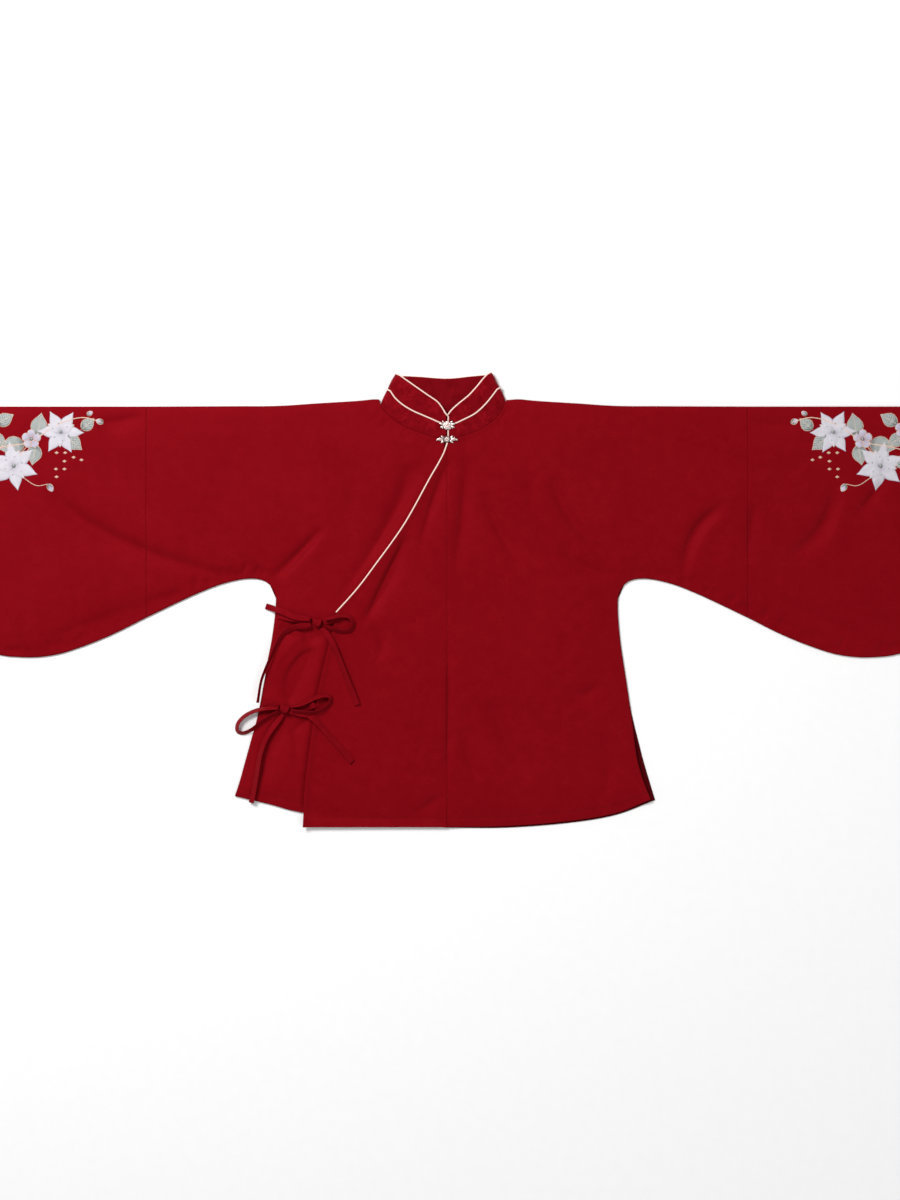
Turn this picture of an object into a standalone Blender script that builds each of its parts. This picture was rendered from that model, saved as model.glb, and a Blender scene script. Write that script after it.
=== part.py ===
"""Stand-collar wrap jacket with lute-shaped sleeves, laid flat on a table, face up.

Metres, +Z up. The jacket lies in the XY plane: +Y runs from hem to collar, +X to the wearer's left,
and the table is Z = 0. X = 0 is the centre seam. Each cloth piece is one sheet given a wall.
"""

import math

import bmesh
import bpy
import numpy as np
from mathutils import Vector
from mathutils.bvhtree import BVHTree

# Driving dimensions
HALF_SPAN = 0.940  # centre seam to sleeve end
SLEEVE_SEAM_X = 0.461  # centre seam to the seam where the sleeve is joined on
CLOTH = 0.0010
COLLAR_WALL = 0.0015
SEAM_GAP = 0.0003
LAP_GAP = 0.0006  # the wrap lies this far above the front under it
LOFT = 0.0026  # how far the relaxed front stands above its edges
LOFT_REACH = 0.045
FOLD_GAP = 0.0025  # between the two layers' middles at the shoulder fold
COLLAR_RISE = {"base": 0.0033, "middle": 0.0080, "top": 0.0125}
PIPING_R = 0.0013
TIE_WIDTH = 0.010
TIE_WALL = 0.0010
TIE_CLEAR = 0.0004
INNER_EDGE_X = -0.004  # the under front's hidden edge, just short of the centre seam
CENTRE_GAP = 0.00015

# Outlines, as (x, y) from the middle of the jacket. Where the two sides differ each has its own table.
SHOULDER = [(0.092, 0.3055), (0.112, 0.3065), (0.140, 0.3040), (0.200, 0.3003), (0.260, 0.2965),
            (0.330, 0.2960), (0.461, 0.2955), (0.640, 0.2955), (0.940, 0.2955)]
UNDERARM = [(0.2720, 0.0240), (0.2810, 0.0300), (0.2960, 0.0330), (0.3180, 0.0315), (0.3480, 0.0240),
            (0.3790, 0.0120), (0.4100, -0.0020), (0.4610, -0.0265), (0.5020, -0.0472), (0.5330, -0.0610),
            (0.5630, -0.0725), (0.5940, -0.0822), (0.6250, -0.0871), (0.6550, -0.0873), (0.6860, -0.0840),
            (0.7300, -0.0710), (0.7750, -0.0430), (0.8150, -0.0030), (0.8520, 0.0450), (0.8850, 0.0900),
            (0.9130, 0.1240), (0.9400, 0.1460)]
SIDE_LEFT = [(0.3193, -0.3066), (0.3100, -0.2759), (0.3009, -0.2452), (0.2932, -0.2145), (0.2855, -0.1838),
             (0.2794, -0.1531), (0.2748, -0.1224), (0.2700, -0.0917), (0.2656, -0.0610), (0.2625, -0.0242),
             (0.2622, -0.0010), (0.2650, 0.0130), (0.2720, 0.0240)]
SIDE_LEFT_FRONT = [(0.3135, -0.3050), (0.3040, -0.2759), (0.2955, -0.2452), (0.2895, -0.2145), (0.2855, -0.1900),
                   (0.2794, -0.1531), (0.2748, -0.1224), (0.2700, -0.0917), (0.2656, -0.0610),
                   (0.2625, -0.0242), (0.2622, -0.0010), (0.2650, 0.0130), (0.2720, 0.0240)]
SIDE_RIGHT = [(0.3254, -0.3005), (0.3175, -0.2759), (0.3090, -0.2452), (0.3005, -0.2145), (0.2920, -0.1838),
              (0.2855, -0.1531), (0.2800, -0.1224), (0.2750, -0.0917), (0.2690, -0.0610), (0.2640, -0.0242),
              (0.2622, -0.0010), (0.2650, 0.0130), (0.2720, 0.0240)]
HEM_BACK_LEFT = [(0.0, -0.3490), (0.0906, -0.3489), (0.1836, -0.3419), (0.2580, -0.3296), (0.3193, -0.3066)]
HEM_FRONT_LEFT = [(0.0, -0.3468), (0.0906, -0.3430), (0.1836, -0.3360), (0.2580, -0.3250), (0.3135, -0.3050)]
HEM_BACK_RIGHT = [(0.0, -0.3490), (0.1200, -0.3400), (0.2150, -0.3245), (0.2620, -0.3135), (0.3254, -0.2990)]
HEM_FRONT_RIGHT = [(0.0, -0.3400), (0.1200, -0.3350), (0.2210, -0.3258), (0.2720, -0.3130), (0.3254, -0.3005)]
LAP_EDGE = [(-0.0020, 0.2415), (-0.0058, 0.2219), (-0.0121, 0.2086), (-0.0256, 0.1853), (-0.0645, 0.1155),
            (-0.1105, 0.0510), (-0.1374, 0.0157), (-0.1690, -0.0196), (-0.1796, -0.0656), (-0.1980, -0.1424),
            (-0.2057, -0.1960), (-0.2118, -0.2406), (-0.2180, -0.2913), (-0.2210, -0.3480)]
LAP_CORNER_ROW = 7  # the row of LAP_EDGE where the slanted edge turns down
LAP_HEM_Y = -0.3480

# The collar's three lines on each side of the centre front, from the centre outwards, and its back
COLLAR_BASE_LEFT = [(0.0034, 0.2452), (0.0150, 0.2482), (0.0350, 0.2552), (0.0510, 0.2618), (0.0690, 0.2735),
                    (0.0805, 0.2862), (0.0860, 0.2960), (0.0880, 0.3035)]
COLLAR_BASE_RIGHT = [(-0.0008, 0.2448), (-0.0170, 0.2490), (-0.0410, 0.2568), (-0.0640, 0.2660),
                     (-0.0830, 0.2785), (-0.0930, 0.2872), (-0.0990, 0.2945), (-0.1005, 0.2970)]
COLLAR_MIDDLE_LEFT = [(0.0034, 0.2690), (0.0126, 0.2712), (0.0258, 0.2772), (0.0404, 0.2846), (0.0507, 0.2925),
                      (0.0609, 0.3030), (0.0690, 0.3130), (0.0766, 0.3232)]
COLLAR_MIDDLE_RIGHT = [(-0.0008, 0.2690), (-0.0124, 0.2730), (-0.0227, 0.2775), (-0.0375, 0.2838),
                       (-0.0522, 0.2903), (-0.0668, 0.2990), (-0.0786, 0.3092), (-0.0865, 0.3205)]
COLLAR_TOP_LEFT = [(0.0034, 0.2866), (0.0062, 0.2902), (0.0120, 0.2960), (0.0200, 0.3028), (0.0332, 0.3136),
                   (0.0448, 0.3261), (0.0551, 0.3387), (0.0620, 0.3460)]
COLLAR_TOP_RIGHT = [(-0.0010, 0.2836), (-0.0046, 0.2900), (-0.0090, 0.2968), (-0.0153, 0.3043),
                    (-0.0300, 0.3144), (-0.0448, 0.3247), (-0.0594, 0.3350), (-0.0722, 0.3440)]
COLLAR_BACK = {"base": [(-0.1005, 0.2965), (-0.0500, 0.2900), (0.0, 0.2880), (0.0500, 0.2930), (0.0880, 0.3030)],
               "middle": [(-0.0865, 0.3203), (-0.0420, 0.3130), (0.0, 0.3110), (0.0400, 0.3145),
                          (0.0766, 0.3230)],
               "top": [(-0.0722, 0.3440), (-0.0414, 0.3425), (0.0, 0.3398), (0.0350, 0.3430), (0.0620, 0.3455)]}
COLLAR_SIDE_LEFT = (0.884, 0.467)  # the way the folded side of the collar faces
COLLAR_SIDE_RIGHT = (-0.895, 0.446)
NECK_SET_BACK = 0.0008  # the body's neck edge from the collar's lower edge
NECK_SIDE_ROOM = 0.0014  # and this much more at the side

# Largest folds: a soft ridge along start, bend, end, with its half width and height. The outer ones
# are on the wrap, the left front and the left sleeve; the under ones on the right front and sleeve.
FOLD_COLUMNS = ("x0", "y0", "x1", "y1", "x2", "y2", "half_width", "height")
FOLDS = {
    "under": [(-0.590, 0.165, -0.500, 0.060, -0.335, 0.044, 0.016, 0.0050),
              (-0.262, 0.040, -0.235, 0.070, -0.200, 0.098, 0.013, 0.0042),
              (-0.070, 0.190, -0.082, 0.130, -0.128, 0.062, 0.014, 0.0040),
              (-0.190, -0.055, -0.245, -0.085, -0.226, -0.150, 0.014, 0.0060),
              (-0.272, -0.200, -0.262, -0.250, -0.266, -0.300, 0.012, 0.0042),
              (-0.700, 0.150, -0.720, 0.060, -0.690, -0.020, 0.020, 0.0046),
              (-0.905, 0.235, -0.840, 0.190, -0.770, 0.180, 0.018, 0.0044)],
    "outer": [(-0.052, 0.110, -0.092, 0.048, -0.124, -0.002, 0.013, 0.0048),
              (-0.014, 0.150, -0.020, 0.080, -0.034, 0.010, 0.013, 0.0036),
              (-0.030, -0.190, -0.018, -0.270, -0.030, -0.335, 0.015, 0.0036),
              (0.026, 0.160, 0.022, 0.110, 0.012, 0.040, 0.013, 0.0036),
              (0.056, 0.170, 0.078, 0.105, 0.118, 0.070, 0.015, 0.0038),
              (0.168, 0.188, 0.190, 0.110, 0.262, 0.052, 0.016, 0.0042),
              (0.060, -0.140, 0.075, -0.210, 0.118, -0.265, 0.018, 0.0036),
              (0.430, 0.145, 0.375, 0.110, 0.380, 0.050, 0.016, 0.0046),
              (0.600, 0.130, 0.560, 0.060, 0.505, 0.005, 0.018, 0.0044),
              (0.700, 0.150, 0.720, 0.060, 0.690, -0.020, 0.020, 0.0046),
              (0.905, 0.235, 0.840, 0.190, 0.770, 0.180, 0.018, 0.0044)],
}

TIE_STEP = 0.007
LOOP_STEP = 0.0045
LOOP_TURN_R = 0.0011
LOOP_BANK = 52
CLASP_CLEAR = 0.0002
CLASP_HEIGHT = 0.0018

# Ties, each as the points along its middle, from the knot outwards or round a loop
TIES = {
    "tie_upper_side": [(-0.2075, -0.0330), (-0.2330, -0.0290), (-0.2600, -0.0235)],
    "tie_upper_wrap": [(-0.1905, -0.0330), (-0.1810, -0.0330), (-0.1710, -0.0275)],
    "tie_upper_tail_left": [(-0.2085, -0.0380), (-0.2310, -0.0405), (-0.2487, -0.0490), (-0.2590, -0.0640),
                            (-0.2680, -0.0840), (-0.2772, -0.1040), (-0.2850, -0.1255), (-0.2900, -0.1570)],
    "tie_upper_tail_right": [(-0.1930, -0.0425), (-0.1820, -0.0540), (-0.1740, -0.0680), (-0.1660, -0.0866),
                             (-0.1540, -0.1173), (-0.1430, -0.1450), (-0.1372, -0.1608)],
    "tie_upper_loop_left": [(-0.2095, -0.0290), (-0.2330, -0.0255), (-0.2510, -0.0180), (-0.2765, -0.0095)],
    "tie_upper_loop_right": [(-0.1885, -0.0385), (-0.1740, -0.0440), (-0.1600, -0.0480), (-0.1480, -0.0460),
                             (-0.1430, -0.0360), (-0.1490, -0.0255), (-0.1620, -0.0235), (-0.1760, -0.0265),
                             (-0.1875, -0.0290)],
    "tie_lower_side": [(-0.2575, -0.1630), (-0.2680, -0.1595), (-0.2830, -0.1570)],
    "tie_lower_wrap": [(-0.2400, -0.1655), (-0.2260, -0.1660), (-0.2120, -0.1640), (-0.2010, -0.1600)],
    "tie_lower_tail_left": [(-0.2510, -0.1750), (-0.2560, -0.1810), (-0.2683, -0.1965), (-0.2784, -0.2133),
                            (-0.2861, -0.2360), (-0.2900, -0.2580), (-0.2945, -0.2850), (-0.3000, -0.3105)],
    "tie_lower_tail_right": [(-0.2405, -0.1705), (-0.2250, -0.1735), (-0.2110, -0.1765), (-0.1954, -0.1900),
                             (-0.1775, -0.2100), (-0.1600, -0.2285), (-0.1450, -0.2475)],
    "tie_lower_loop_left": [(-0.2580, -0.1700), (-0.2700, -0.1770), (-0.2850, -0.1870), (-0.2980, -0.1975),
                            (-0.3110, -0.2035), (-0.3210, -0.2010), (-0.3210, -0.1900), (-0.3120, -0.1790),
                            (-0.2980, -0.1710), (-0.2830, -0.1665), (-0.2700, -0.1650), (-0.2585, -0.1655)],
    "tie_lower_loop_right": [(-0.2395, -0.1625), (-0.2260, -0.1600), (-0.2130, -0.1550), (-0.2010, -0.1490),
                             (-0.1890, -0.1455), (-0.1790, -0.1470), (-0.1780, -0.1550), (-0.1850, -0.1640),
                             (-0.1960, -0.1700), (-0.2100, -0.1720), (-0.2250, -0.1705), (-0.2390, -0.1685)],
}
PRESSED = ("tie_upper_loop_left",)
BOWS = [
    {"knot": "knot_upper", "centre": (-0.1990, -0.0345), "size": (0.0160, 0.0135, 0.0095), "angle": -8,
     "straps": ["tie_upper_side", "tie_upper_wrap"], "tails": ["tie_upper_tail_left", "tie_upper_tail_right"],
     "loops": ["tie_upper_loop_left", "tie_upper_loop_right"]},
    {"knot": "knot_lower", "centre": (-0.2487, -0.1665), "size": (0.0172, 0.0145, 0.0095), "angle": -20,
     "straps": ["tie_lower_side", "tie_lower_wrap"], "tails": ["tie_lower_tail_left", "tie_lower_tail_right"],
     "loops": ["tie_lower_loop_left", "tie_lower_loop_right"]},
]

# Clasps: a flower in the middle with a spray of leaves on each side
CLASPS = [
    {"flower": "clasp_upper_flower", "left": "clasp_upper_leaves_right", "right": "clasp_upper_leaves_left",
     "centre": (0.0007, 0.2678), "petals": (5, 0.0056, 0.22, 1.571),
     "leaves": [(0.0060, -0.0022), (0.0072, -0.0056), (0.0094, -0.0066), (0.0096, -0.0030), (0.0118, -0.0006),
                (0.0112, 0.0018), (0.0090, 0.0020), (0.0092, 0.0052), (0.0072, 0.0056), (0.0060, 0.0022)]},
    {"flower": "clasp_lower_flower", "left": "clasp_lower_leaves_right", "right": "clasp_lower_leaves_left",
     "centre": (0.0000, 0.2462), "petals": (8, 0.0054, 0.12, 0.0),
     "leaves": [(0.0059, -0.0020), (0.0082, -0.0058), (0.0116, -0.0068), (0.0112, -0.0034), (0.0158, -0.0024),
                (0.0176, 0.0008), (0.0148, 0.0026), (0.0112, 0.0030), (0.0120, 0.0064), (0.0084, 0.0062),
                (0.0059, 0.0022)]},
]

CRIMSON = (0.300, 0.005, 0.012)
GOLD_CORD = (0.800, 0.560, 0.360)
SILVER = (0.640, 0.620, 0.600)


def curve_through(points, count):
    """Count points, evenly spaced by length, on the smooth curve through the given ones."""
    p = np.asarray(points, float)
    padded = np.vstack([2 * p[0] - p[1], p, 2 * p[-1] - p[-2]])
    t = np.linspace(0, 1, 17)[:-1, None]
    spans = []
    for i in range(len(p) - 1):
        a, b, c, d = padded[i:i + 4]
        spans.append(0.5 * (2 * b + (c - a) * t + (2 * a - 5 * b + 4 * c - d) * t**2
                            + (3 * b - a - 3 * c + d) * t**3))
    dense = np.vstack([*spans, p[-1:]])
    length = np.concatenate([[0], np.cumsum(np.linalg.norm(np.diff(dense, axis=0), axis=1))])
    at = np.linspace(0, length[-1], count)
    return np.stack([np.interp(at, length, dense[:, k]) for k in range(dense.shape[1])], axis=1)


def height_on(points, value, axis=0):
    """The other coordinate of the curve through the points, where one of them has this value."""
    dense = curve_through(points, 400)
    order = np.argsort(dense[:, axis])
    return np.interp(value, dense[order, axis], dense[order, 1 - axis])


def distance_to(x, y, line):
    """Distance from each (x, y) to a line of straight spans."""
    q = np.stack([np.ravel(x), np.ravel(y)], axis=1)
    best = np.full(len(q), 1e9)
    for a, b in zip(line[:-1], line[1:]):
        along = b - a
        t = np.clip((q - a) @ along / max(along @ along, 1e-12), 0, 1)
        best = np.minimum(best, np.linalg.norm(q - (a + t[:, None] * along), axis=1))
    return best.reshape(np.shape(x))


def mirrored(points, side):
    return np.asarray(points, float) * (side, 1)


def outline_of(side):
    """The edge of one half as it lies, from the centre hem round the sleeve end to the shoulder."""
    side_line, hem = (SIDE_LEFT_FRONT, HEM_FRONT_LEFT) if side > 0 else (SIDE_RIGHT, HEM_FRONT_RIGHT)
    parts = [curve_through(hem, 12), curve_through(side_line, 24), curve_through(UNDERARM, 60),
             curve_through(SHOULDER, 30)[::-1]]
    return mirrored(np.vstack(parts), side)


OUTLINES = {side: outline_of(side) for side in (1, -1)}
SHOULDER_FOLD = {side: mirrored(curve_through(SHOULDER, 30), side) for side in (1, -1)}


def ridge(x, y, row):
    """A soft ridge: a bell across its bent line, fading to nothing at both ends."""
    fold = dict(zip(FOLD_COLUMNS, row))
    t = np.linspace(0, 1, 24)
    line_x = (1 - t)**2 * fold["x0"] + 2 * t * (1 - t) * fold["x1"] + t**2 * fold["x2"]
    line_y = (1 - t)**2 * fold["y0"] + 2 * t * (1 - t) * fold["y1"] + t**2 * fold["y2"]
    gap = np.hypot(x[..., None] - line_x, y[..., None] - line_y)
    nearest = gap.argmin(axis=-1)
    taper = np.sin(np.pi * np.clip(t[nearest], 0.02, 0.98))**0.7
    return fold["height"] * taper * np.exp(-(gap.min(axis=-1) / fold["half_width"])**2)


def front_height(x, y, side):
    """Middle of the front cloth above the table, without its folds."""
    x, y = np.asarray(x, float), np.asarray(y, float)
    seam = CLOTH / 2 + CLOTH + SEAM_GAP
    at_fold = (FOLD_GAP - CLOTH - SEAM_GAP) * np.exp(-(distance_to(x, y, SHOULDER_FOLD[side]) / 0.02)**2)
    inside = 1 - np.exp(-distance_to(x, y, OUTLINES[side]) / LOFT_REACH)
    return seam + at_fold + LOFT * inside


def folded(x, y, side, layer_name):
    """The folds' height on one layer, held down close to the outline."""
    x, y = np.asarray(x, float), np.asarray(y, float)
    hold = 1 - np.exp(-distance_to(x, y, OUTLINES[side]) / 0.010)
    return np.max([ridge(x, y, row) for row in FOLDS[layer_name]], axis=0) * hold


def over_wrap(x):
    """How far the outer front is lifted by the under front: all of it left of the edge, none past it."""
    t = np.clip((np.asarray(x, float) - INNER_EDGE_X) / 0.045, 0, 1)
    return (CLOTH + LAP_GAP) * (1 - t * t * (3 - 2 * t))


def under_z(x, y):
    """Middle of the right front and right sleeve: their folds stop short of the wrap that covers them."""
    edge = curve_through(LAP_EDGE, 60)
    wrap_x = np.interp(y, edge[::-1, 1], edge[::-1, 0])
    clear = 1 / (1 + np.exp((x - wrap_x + 0.016) / 0.004))
    return front_height(x, y, -1) + folded(x, y, -1, "under") * clear


def wrap_z(x, y):
    return front_height(x, y, -1) + over_wrap(x) + folded(x, y, -1, "outer")


def outer_z(x, y):
    return front_height(x, y, 1) + over_wrap(x) + folded(x, y, 1, "outer")


def new_object(name, mesh, colour, metallic=0.0, roughness=0.6):
    obj = bpy.data.objects.new(name, mesh)
    garment.objects.link(obj)
    material = bpy.data.materials.new(name)
    material.use_nodes = True
    shader = material.node_tree.nodes["Principled BSDF"]
    shader.inputs["Base Color"].default_value = (*colour, 1)
    shader.inputs["Metallic"].default_value = metallic
    shader.inputs["Roughness"].default_value = roughness
    mesh.materials.append(material)
    return obj


def walled(name, verts, faces, wall, colour=CRIMSON, **finish):
    """One sheet of cloth with its faces turned out, given a wall centred on it."""
    mesh = bpy.data.meshes.new(name)
    mesh.from_pydata([tuple(v) for v in verts], [], faces)
    sheet = bmesh.new()
    sheet.from_mesh(mesh)
    bmesh.ops.remove_doubles(sheet, verts=sheet.verts, dist=1e-6)
    bmesh.ops.recalc_face_normals(sheet, faces=sheet.faces)
    sheet.to_mesh(mesh)
    sheet.free()
    mesh.shade_smooth()
    obj = new_object(name, mesh, colour, **finish)
    solid = obj.modifiers.new("wall", "SOLIDIFY")
    solid.thickness = wall
    solid.offset = 0
    return obj


def grid_faces(index):
    """Quads between neighbouring rows and columns; a -1 marks a point that isn't there."""
    faces = []
    for r in range(index.shape[0] - 1):
        for c in range(index.shape[1] - 1):
            quad = [index[r, c], index[r, c + 1], index[r + 1, c + 1], index[r + 1, c]]
            if min(quad) >= 0:
                faces.append([int(i) for i in quad])
    return faces


def folded_sheet(name, front, back, first_folded, arc_steps=4):
    """Front and back layers in one piece. Both are rows by columns by 3, top row first, and the
    top rows are joined round the shoulder fold from column first_folded on."""
    rows_f, rows_b, columns = front.shape[0], back.shape[0], front.shape[1]
    points, index = [], np.full((rows_f + rows_b + arc_steps - 1, columns), -1)
    for c in range(columns):
        column = [*back[::-1, c]]
        radius = (front[0, c, 2] - back[0, c, 2]) / 2
        middle = (front[0, c] + back[0, c]) / 2
        for k in range(1, arc_steps):
            turn = math.pi * k / arc_steps
            arc = middle + (0, radius * math.sin(turn), -radius * math.cos(turn))
            column.append(arc if c >= first_folded else np.full(3, np.nan))
        column.extend(front[:, c])
        for r, point in enumerate(column):
            if not np.isnan(point[0]):
                index[r, c] = len(points)
                points.append(point)
    return walled(name, points, grid_faces(index), CLOTH)


def layer(top, bottom, rows, height):
    """Rows of points from the top line to the bottom line of a flat layer."""
    t = np.linspace(0, 1, rows)[:, None, None]
    flat = top[None] * (1 - t) + bottom[None] * t
    return np.dstack([flat, height(flat[..., 0], flat[..., 1])])


def below_arms(side_line, hem, arm_row, rows, inner_x, side, height):
    """Rows from armpit level down to the hem, between the centre seam and the side line."""
    across = np.linspace(0, 1, arm_row.shape[0])
    hem_curve = curve_through(hem, 40)
    drop = np.linspace(0, 1, rows)[1:, None]
    armpit_y, corner_y = arm_row[-1, 1], hem[-1][1]
    level = armpit_y + (corner_y - armpit_y) * drop
    side_x = height_on(side_line, level[:, 0], axis=1)[:, None]
    x = inner_x + across * (side_x - inner_x)
    share = np.abs(x[-1] - inner_x) / abs(x[-1, -1] - inner_x)
    hem_y = np.interp(hem[0][0] + share * (hem[-1][0] - hem[0][0]), hem_curve[:, 0], hem_curve[:, 1])
    y = arm_row[:, 1] + (hem_y - arm_row[:, 1]) * drop
    x = x * side
    return np.dstack([x, y, height(x, y)])


NECK_COLUMNS, CHEST_COLUMNS, ARM_COLUMNS = 10, 8, 8


def body_layer(side, neck, side_line, hem, rows_up, rows_down, inner_x, height):
    """One layer of a body panel: columns from centre seam to sleeve seam, and rows below the armpit."""
    armpit = UNDERARM[0]
    fold = curve_through(SHOULDER, 200)
    neck_x = abs(neck[-1][0])
    to_armpit = np.linspace(neck_x, armpit[0], CHEST_COLUMNS + 1)[1:]
    to_seam = np.linspace(armpit[0], SLEEVE_SEAM_X - CENTRE_GAP, ARM_COLUMNS + 1)[1:]
    fold_x = np.concatenate([to_armpit, to_seam])
    top = np.vstack([neck * (side, 1), np.stack([fold_x, np.interp(fold_x, fold[:, 0], fold[:, 1])], axis=1)])
    across = np.linspace(0, 1, NECK_COLUMNS + CHEST_COLUMNS + 1)
    level = np.stack([inner_x + across * (armpit[0] - inner_x), np.full(len(across), armpit[1])], axis=1)
    under = curve_through([p for p in UNDERARM if p[0] <= SLEEVE_SEAM_X], 200)
    under_x = np.interp(np.linspace(0, 1, ARM_COLUMNS + 1)[1:]**1.3, [0, 1], [armpit[0], to_seam[-1]])
    bottom = np.vstack([level, np.stack([under_x, np.interp(under_x, under[:, 0], under[:, 1])], axis=1)])
    upper = layer(top * (side, 1), bottom * (side, 1), rows_up, height)
    lower = below_arms(side_line, hem, level, rows_down, inner_x, side, height)
    missing = np.full((lower.shape[0], ARM_COLUMNS, 3), np.nan)
    return np.vstack([upper, np.concatenate([lower, missing], axis=1)])


def neck_edge(ring, end_x, inner_x, side):
    """The body's neck edge: the collar's lower line moved out, more so towards the side, where the
    collar turns, then on to the shoulder fold."""
    line = curve_through(ring, 14)
    ahead = np.gradient(line, axis=0)
    out = np.column_stack([-ahead[:, 1], ahead[:, 0]]) / np.linalg.norm(ahead, axis=1)[:, None]
    out *= np.sign((out * (line - (0.0, 0.32))).sum(axis=1))[:, None]
    line = line + out * (NECK_SET_BACK + NECK_SIDE_ROOM * np.linspace(0, 1, 14)[:, None]**2)
    end = (side * end_x, float(np.interp(end_x, *np.array(SHOULDER).T)))
    edge = curve_through([*line, end], NECK_COLUMNS + 1)
    edge[0, 0] = side * inner_x
    return edge


def body_panel(name, side, front_base, end_x, side_front, side_back, hem_front, hem_back, inner_x, height):
    """A body panel cut in one piece over the shoulder, front and back, with the root of its sleeve."""
    back_ring = [p for p in COLLAR_BACK["base"] if p[0] * side >= 0]
    back_neck = neck_edge(back_ring if side > 0 else back_ring[::-1], end_x, CENTRE_GAP, side)
    front_neck = neck_edge(front_base, end_x, inner_x, side)
    flat = lambda x, y: np.full(np.shape(x), CLOTH / 2)
    front = body_layer(side, front_neck, side_front, hem_front, 13, 15, inner_x, height)
    back = body_layer(side, back_neck, side_back, hem_back, 5, 5, CENTRE_GAP, flat)
    return folded_sheet(name, front, back, NECK_COLUMNS)


def sleeve(name, side, height):
    """The sleeve joined on at its seam: one piece folded at the top, open at the cuff."""
    x = np.linspace(SLEEVE_SEAM_X + CENTRE_GAP, HALF_SPAN, 22)
    fold, under = curve_through(SHOULDER, 200), curve_through(UNDERARM, 400)
    top = np.stack([x * side, np.interp(x, fold[:, 0], fold[:, 1])], axis=1)
    bottom = np.stack([x * side, np.interp(x, under[:, 0], under[:, 1])], axis=1)
    flat = lambda a, b: np.full(np.shape(a), CLOTH / 2)
    return folded_sheet(name, layer(top, bottom, 14, height), layer(top, bottom, 4, flat), 0)


def wrap_panel():
    """The wrap sewn to the left front at the centre seam: its free edge slants to the side, then drops."""
    edge = curve_through(LAP_EDGE[:LAP_CORNER_ROW + 1], 15)
    down = curve_through(LAP_EDGE[LAP_CORNER_ROW:], 15)[1:]
    free = np.vstack([edge, down])
    seam = np.stack([np.full(len(free), -CENTRE_GAP), free[:, 1]], axis=1)
    t = np.linspace(0, 1, 11)[None, :, None]
    flat = free[:, None] * (1 - t) + seam[:, None] * t
    points = np.dstack([flat, wrap_z(flat[..., 0], flat[..., 1])])
    index = np.arange(points.shape[0] * points.shape[1]).reshape(points.shape[:2])
    return walled("wrap", points.reshape(-1, 3), grid_faces(index), CLOTH)


def collar_line(level, z_left, z_right, z_back):
    """One line round the collar, from the centre front over the wearer's right side, the back and the
    left side to the centre front again. Each folded side is a half ellipse standing on its edge:
    p(t) = middle + (front - back) / 2 cos t + facing radius sin t, 0 < t < pi."""
    tables = {"base": (COLLAR_BASE_LEFT, COLLAR_BASE_RIGHT), "middle": (COLLAR_MIDDLE_LEFT, COLLAR_MIDDLE_RIGHT),
              "top": (COLLAR_TOP_LEFT, COLLAR_TOP_RIGHT)}
    left, right = (curve_through(table, 12) for table in tables[level])
    back = curve_through(COLLAR_BACK[level], 13)
    front_right = np.column_stack([right, z_right(right)])
    front_left = np.column_stack([left, z_left(left)])
    flat_back = np.column_stack([back, np.full(len(back), z_back)])

    def side_turn(start, end, facing):
        turn = (math.pi * np.arange(1, 6) / 6)[:, None]
        out = np.array([*facing, 0.0]) * abs(start[2] - end[2]) / 2
        return (start + end) / 2 + (start - end) / 2 * np.cos(turn) + out * np.sin(turn)

    turn_right = side_turn(front_right[-1], flat_back[0], COLLAR_SIDE_RIGHT)
    turn_left = side_turn(flat_back[-1], front_left[-1], COLLAR_SIDE_LEFT)
    return np.vstack([front_right, turn_right, flat_back, turn_left, front_left[::-1]])


def collar_lines():
    """The collar's three lines. The lower one follows the fronts; the others rise above it."""
    level = {name: (lambda p, z=z: np.full(len(p), z)) for name, z in COLLAR_RISE.items()}
    low = COLLAR_WALL / 2
    base = collar_line("base", lambda p: outer_z(p[:, 0], p[:, 1] - NECK_SET_BACK),
                       lambda p: under_z(p[:, 0], p[:, 1] - NECK_SET_BACK), low)
    middle = collar_line("middle", level["middle"], level["middle"], low)
    return base, middle, collar_line("top", level["top"], level["top"], PIPING_R)


def held_back(lower, upper, near, far):
    """The same two lines, each moved towards the other until it is its distance from where it was."""
    way = (upper - lower) / np.linalg.norm(upper - lower, axis=1)[:, None]

    def slant(line):
        ahead = np.gradient(line, axis=0)
        ahead /= np.linalg.norm(ahead, axis=1)[:, None]
        return np.maximum(np.linalg.norm(np.cross(way, ahead), axis=1), 0.4)[:, None]

    return lower + way * near / slant(lower), upper - way * far / slant(upper)


def outward(lower, upper):
    """The way a band faces at each point of its line: away from the neck."""
    normal = np.cross(np.gradient(lower, axis=0), upper - lower)
    normal /= np.linalg.norm(normal, axis=1)[:, None]
    return normal * (1 if normal[0, 2] > 0 else -1)


def collar_band(name, lower, upper, rows=3):
    t = np.linspace(0, 1, rows)[:, None, None]
    points = lower[None] * (1 - t) + upper[None] * t
    index = np.arange(points.shape[0] * points.shape[1]).reshape(points.shape[:2])
    return walled(name, points.reshape(-1, 3), grid_faces(index), COLLAR_WALL)


def cord(name, path, radius=PIPING_R):
    """A round piping along a path, its ends closed."""
    curve = bpy.data.curves.new(name, "CURVE")
    curve.dimensions = "3D"
    curve.bevel_depth = radius
    curve.bevel_resolution = 1
    curve.use_fill_caps = True
    spline = curve.splines.new("POLY")
    spline.points.add(len(path) - 1)
    spline.points.foreach_set("co", np.column_stack([path, np.ones(len(path))]).ravel())
    return new_object(name, curve, GOLD_CORD)


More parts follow.
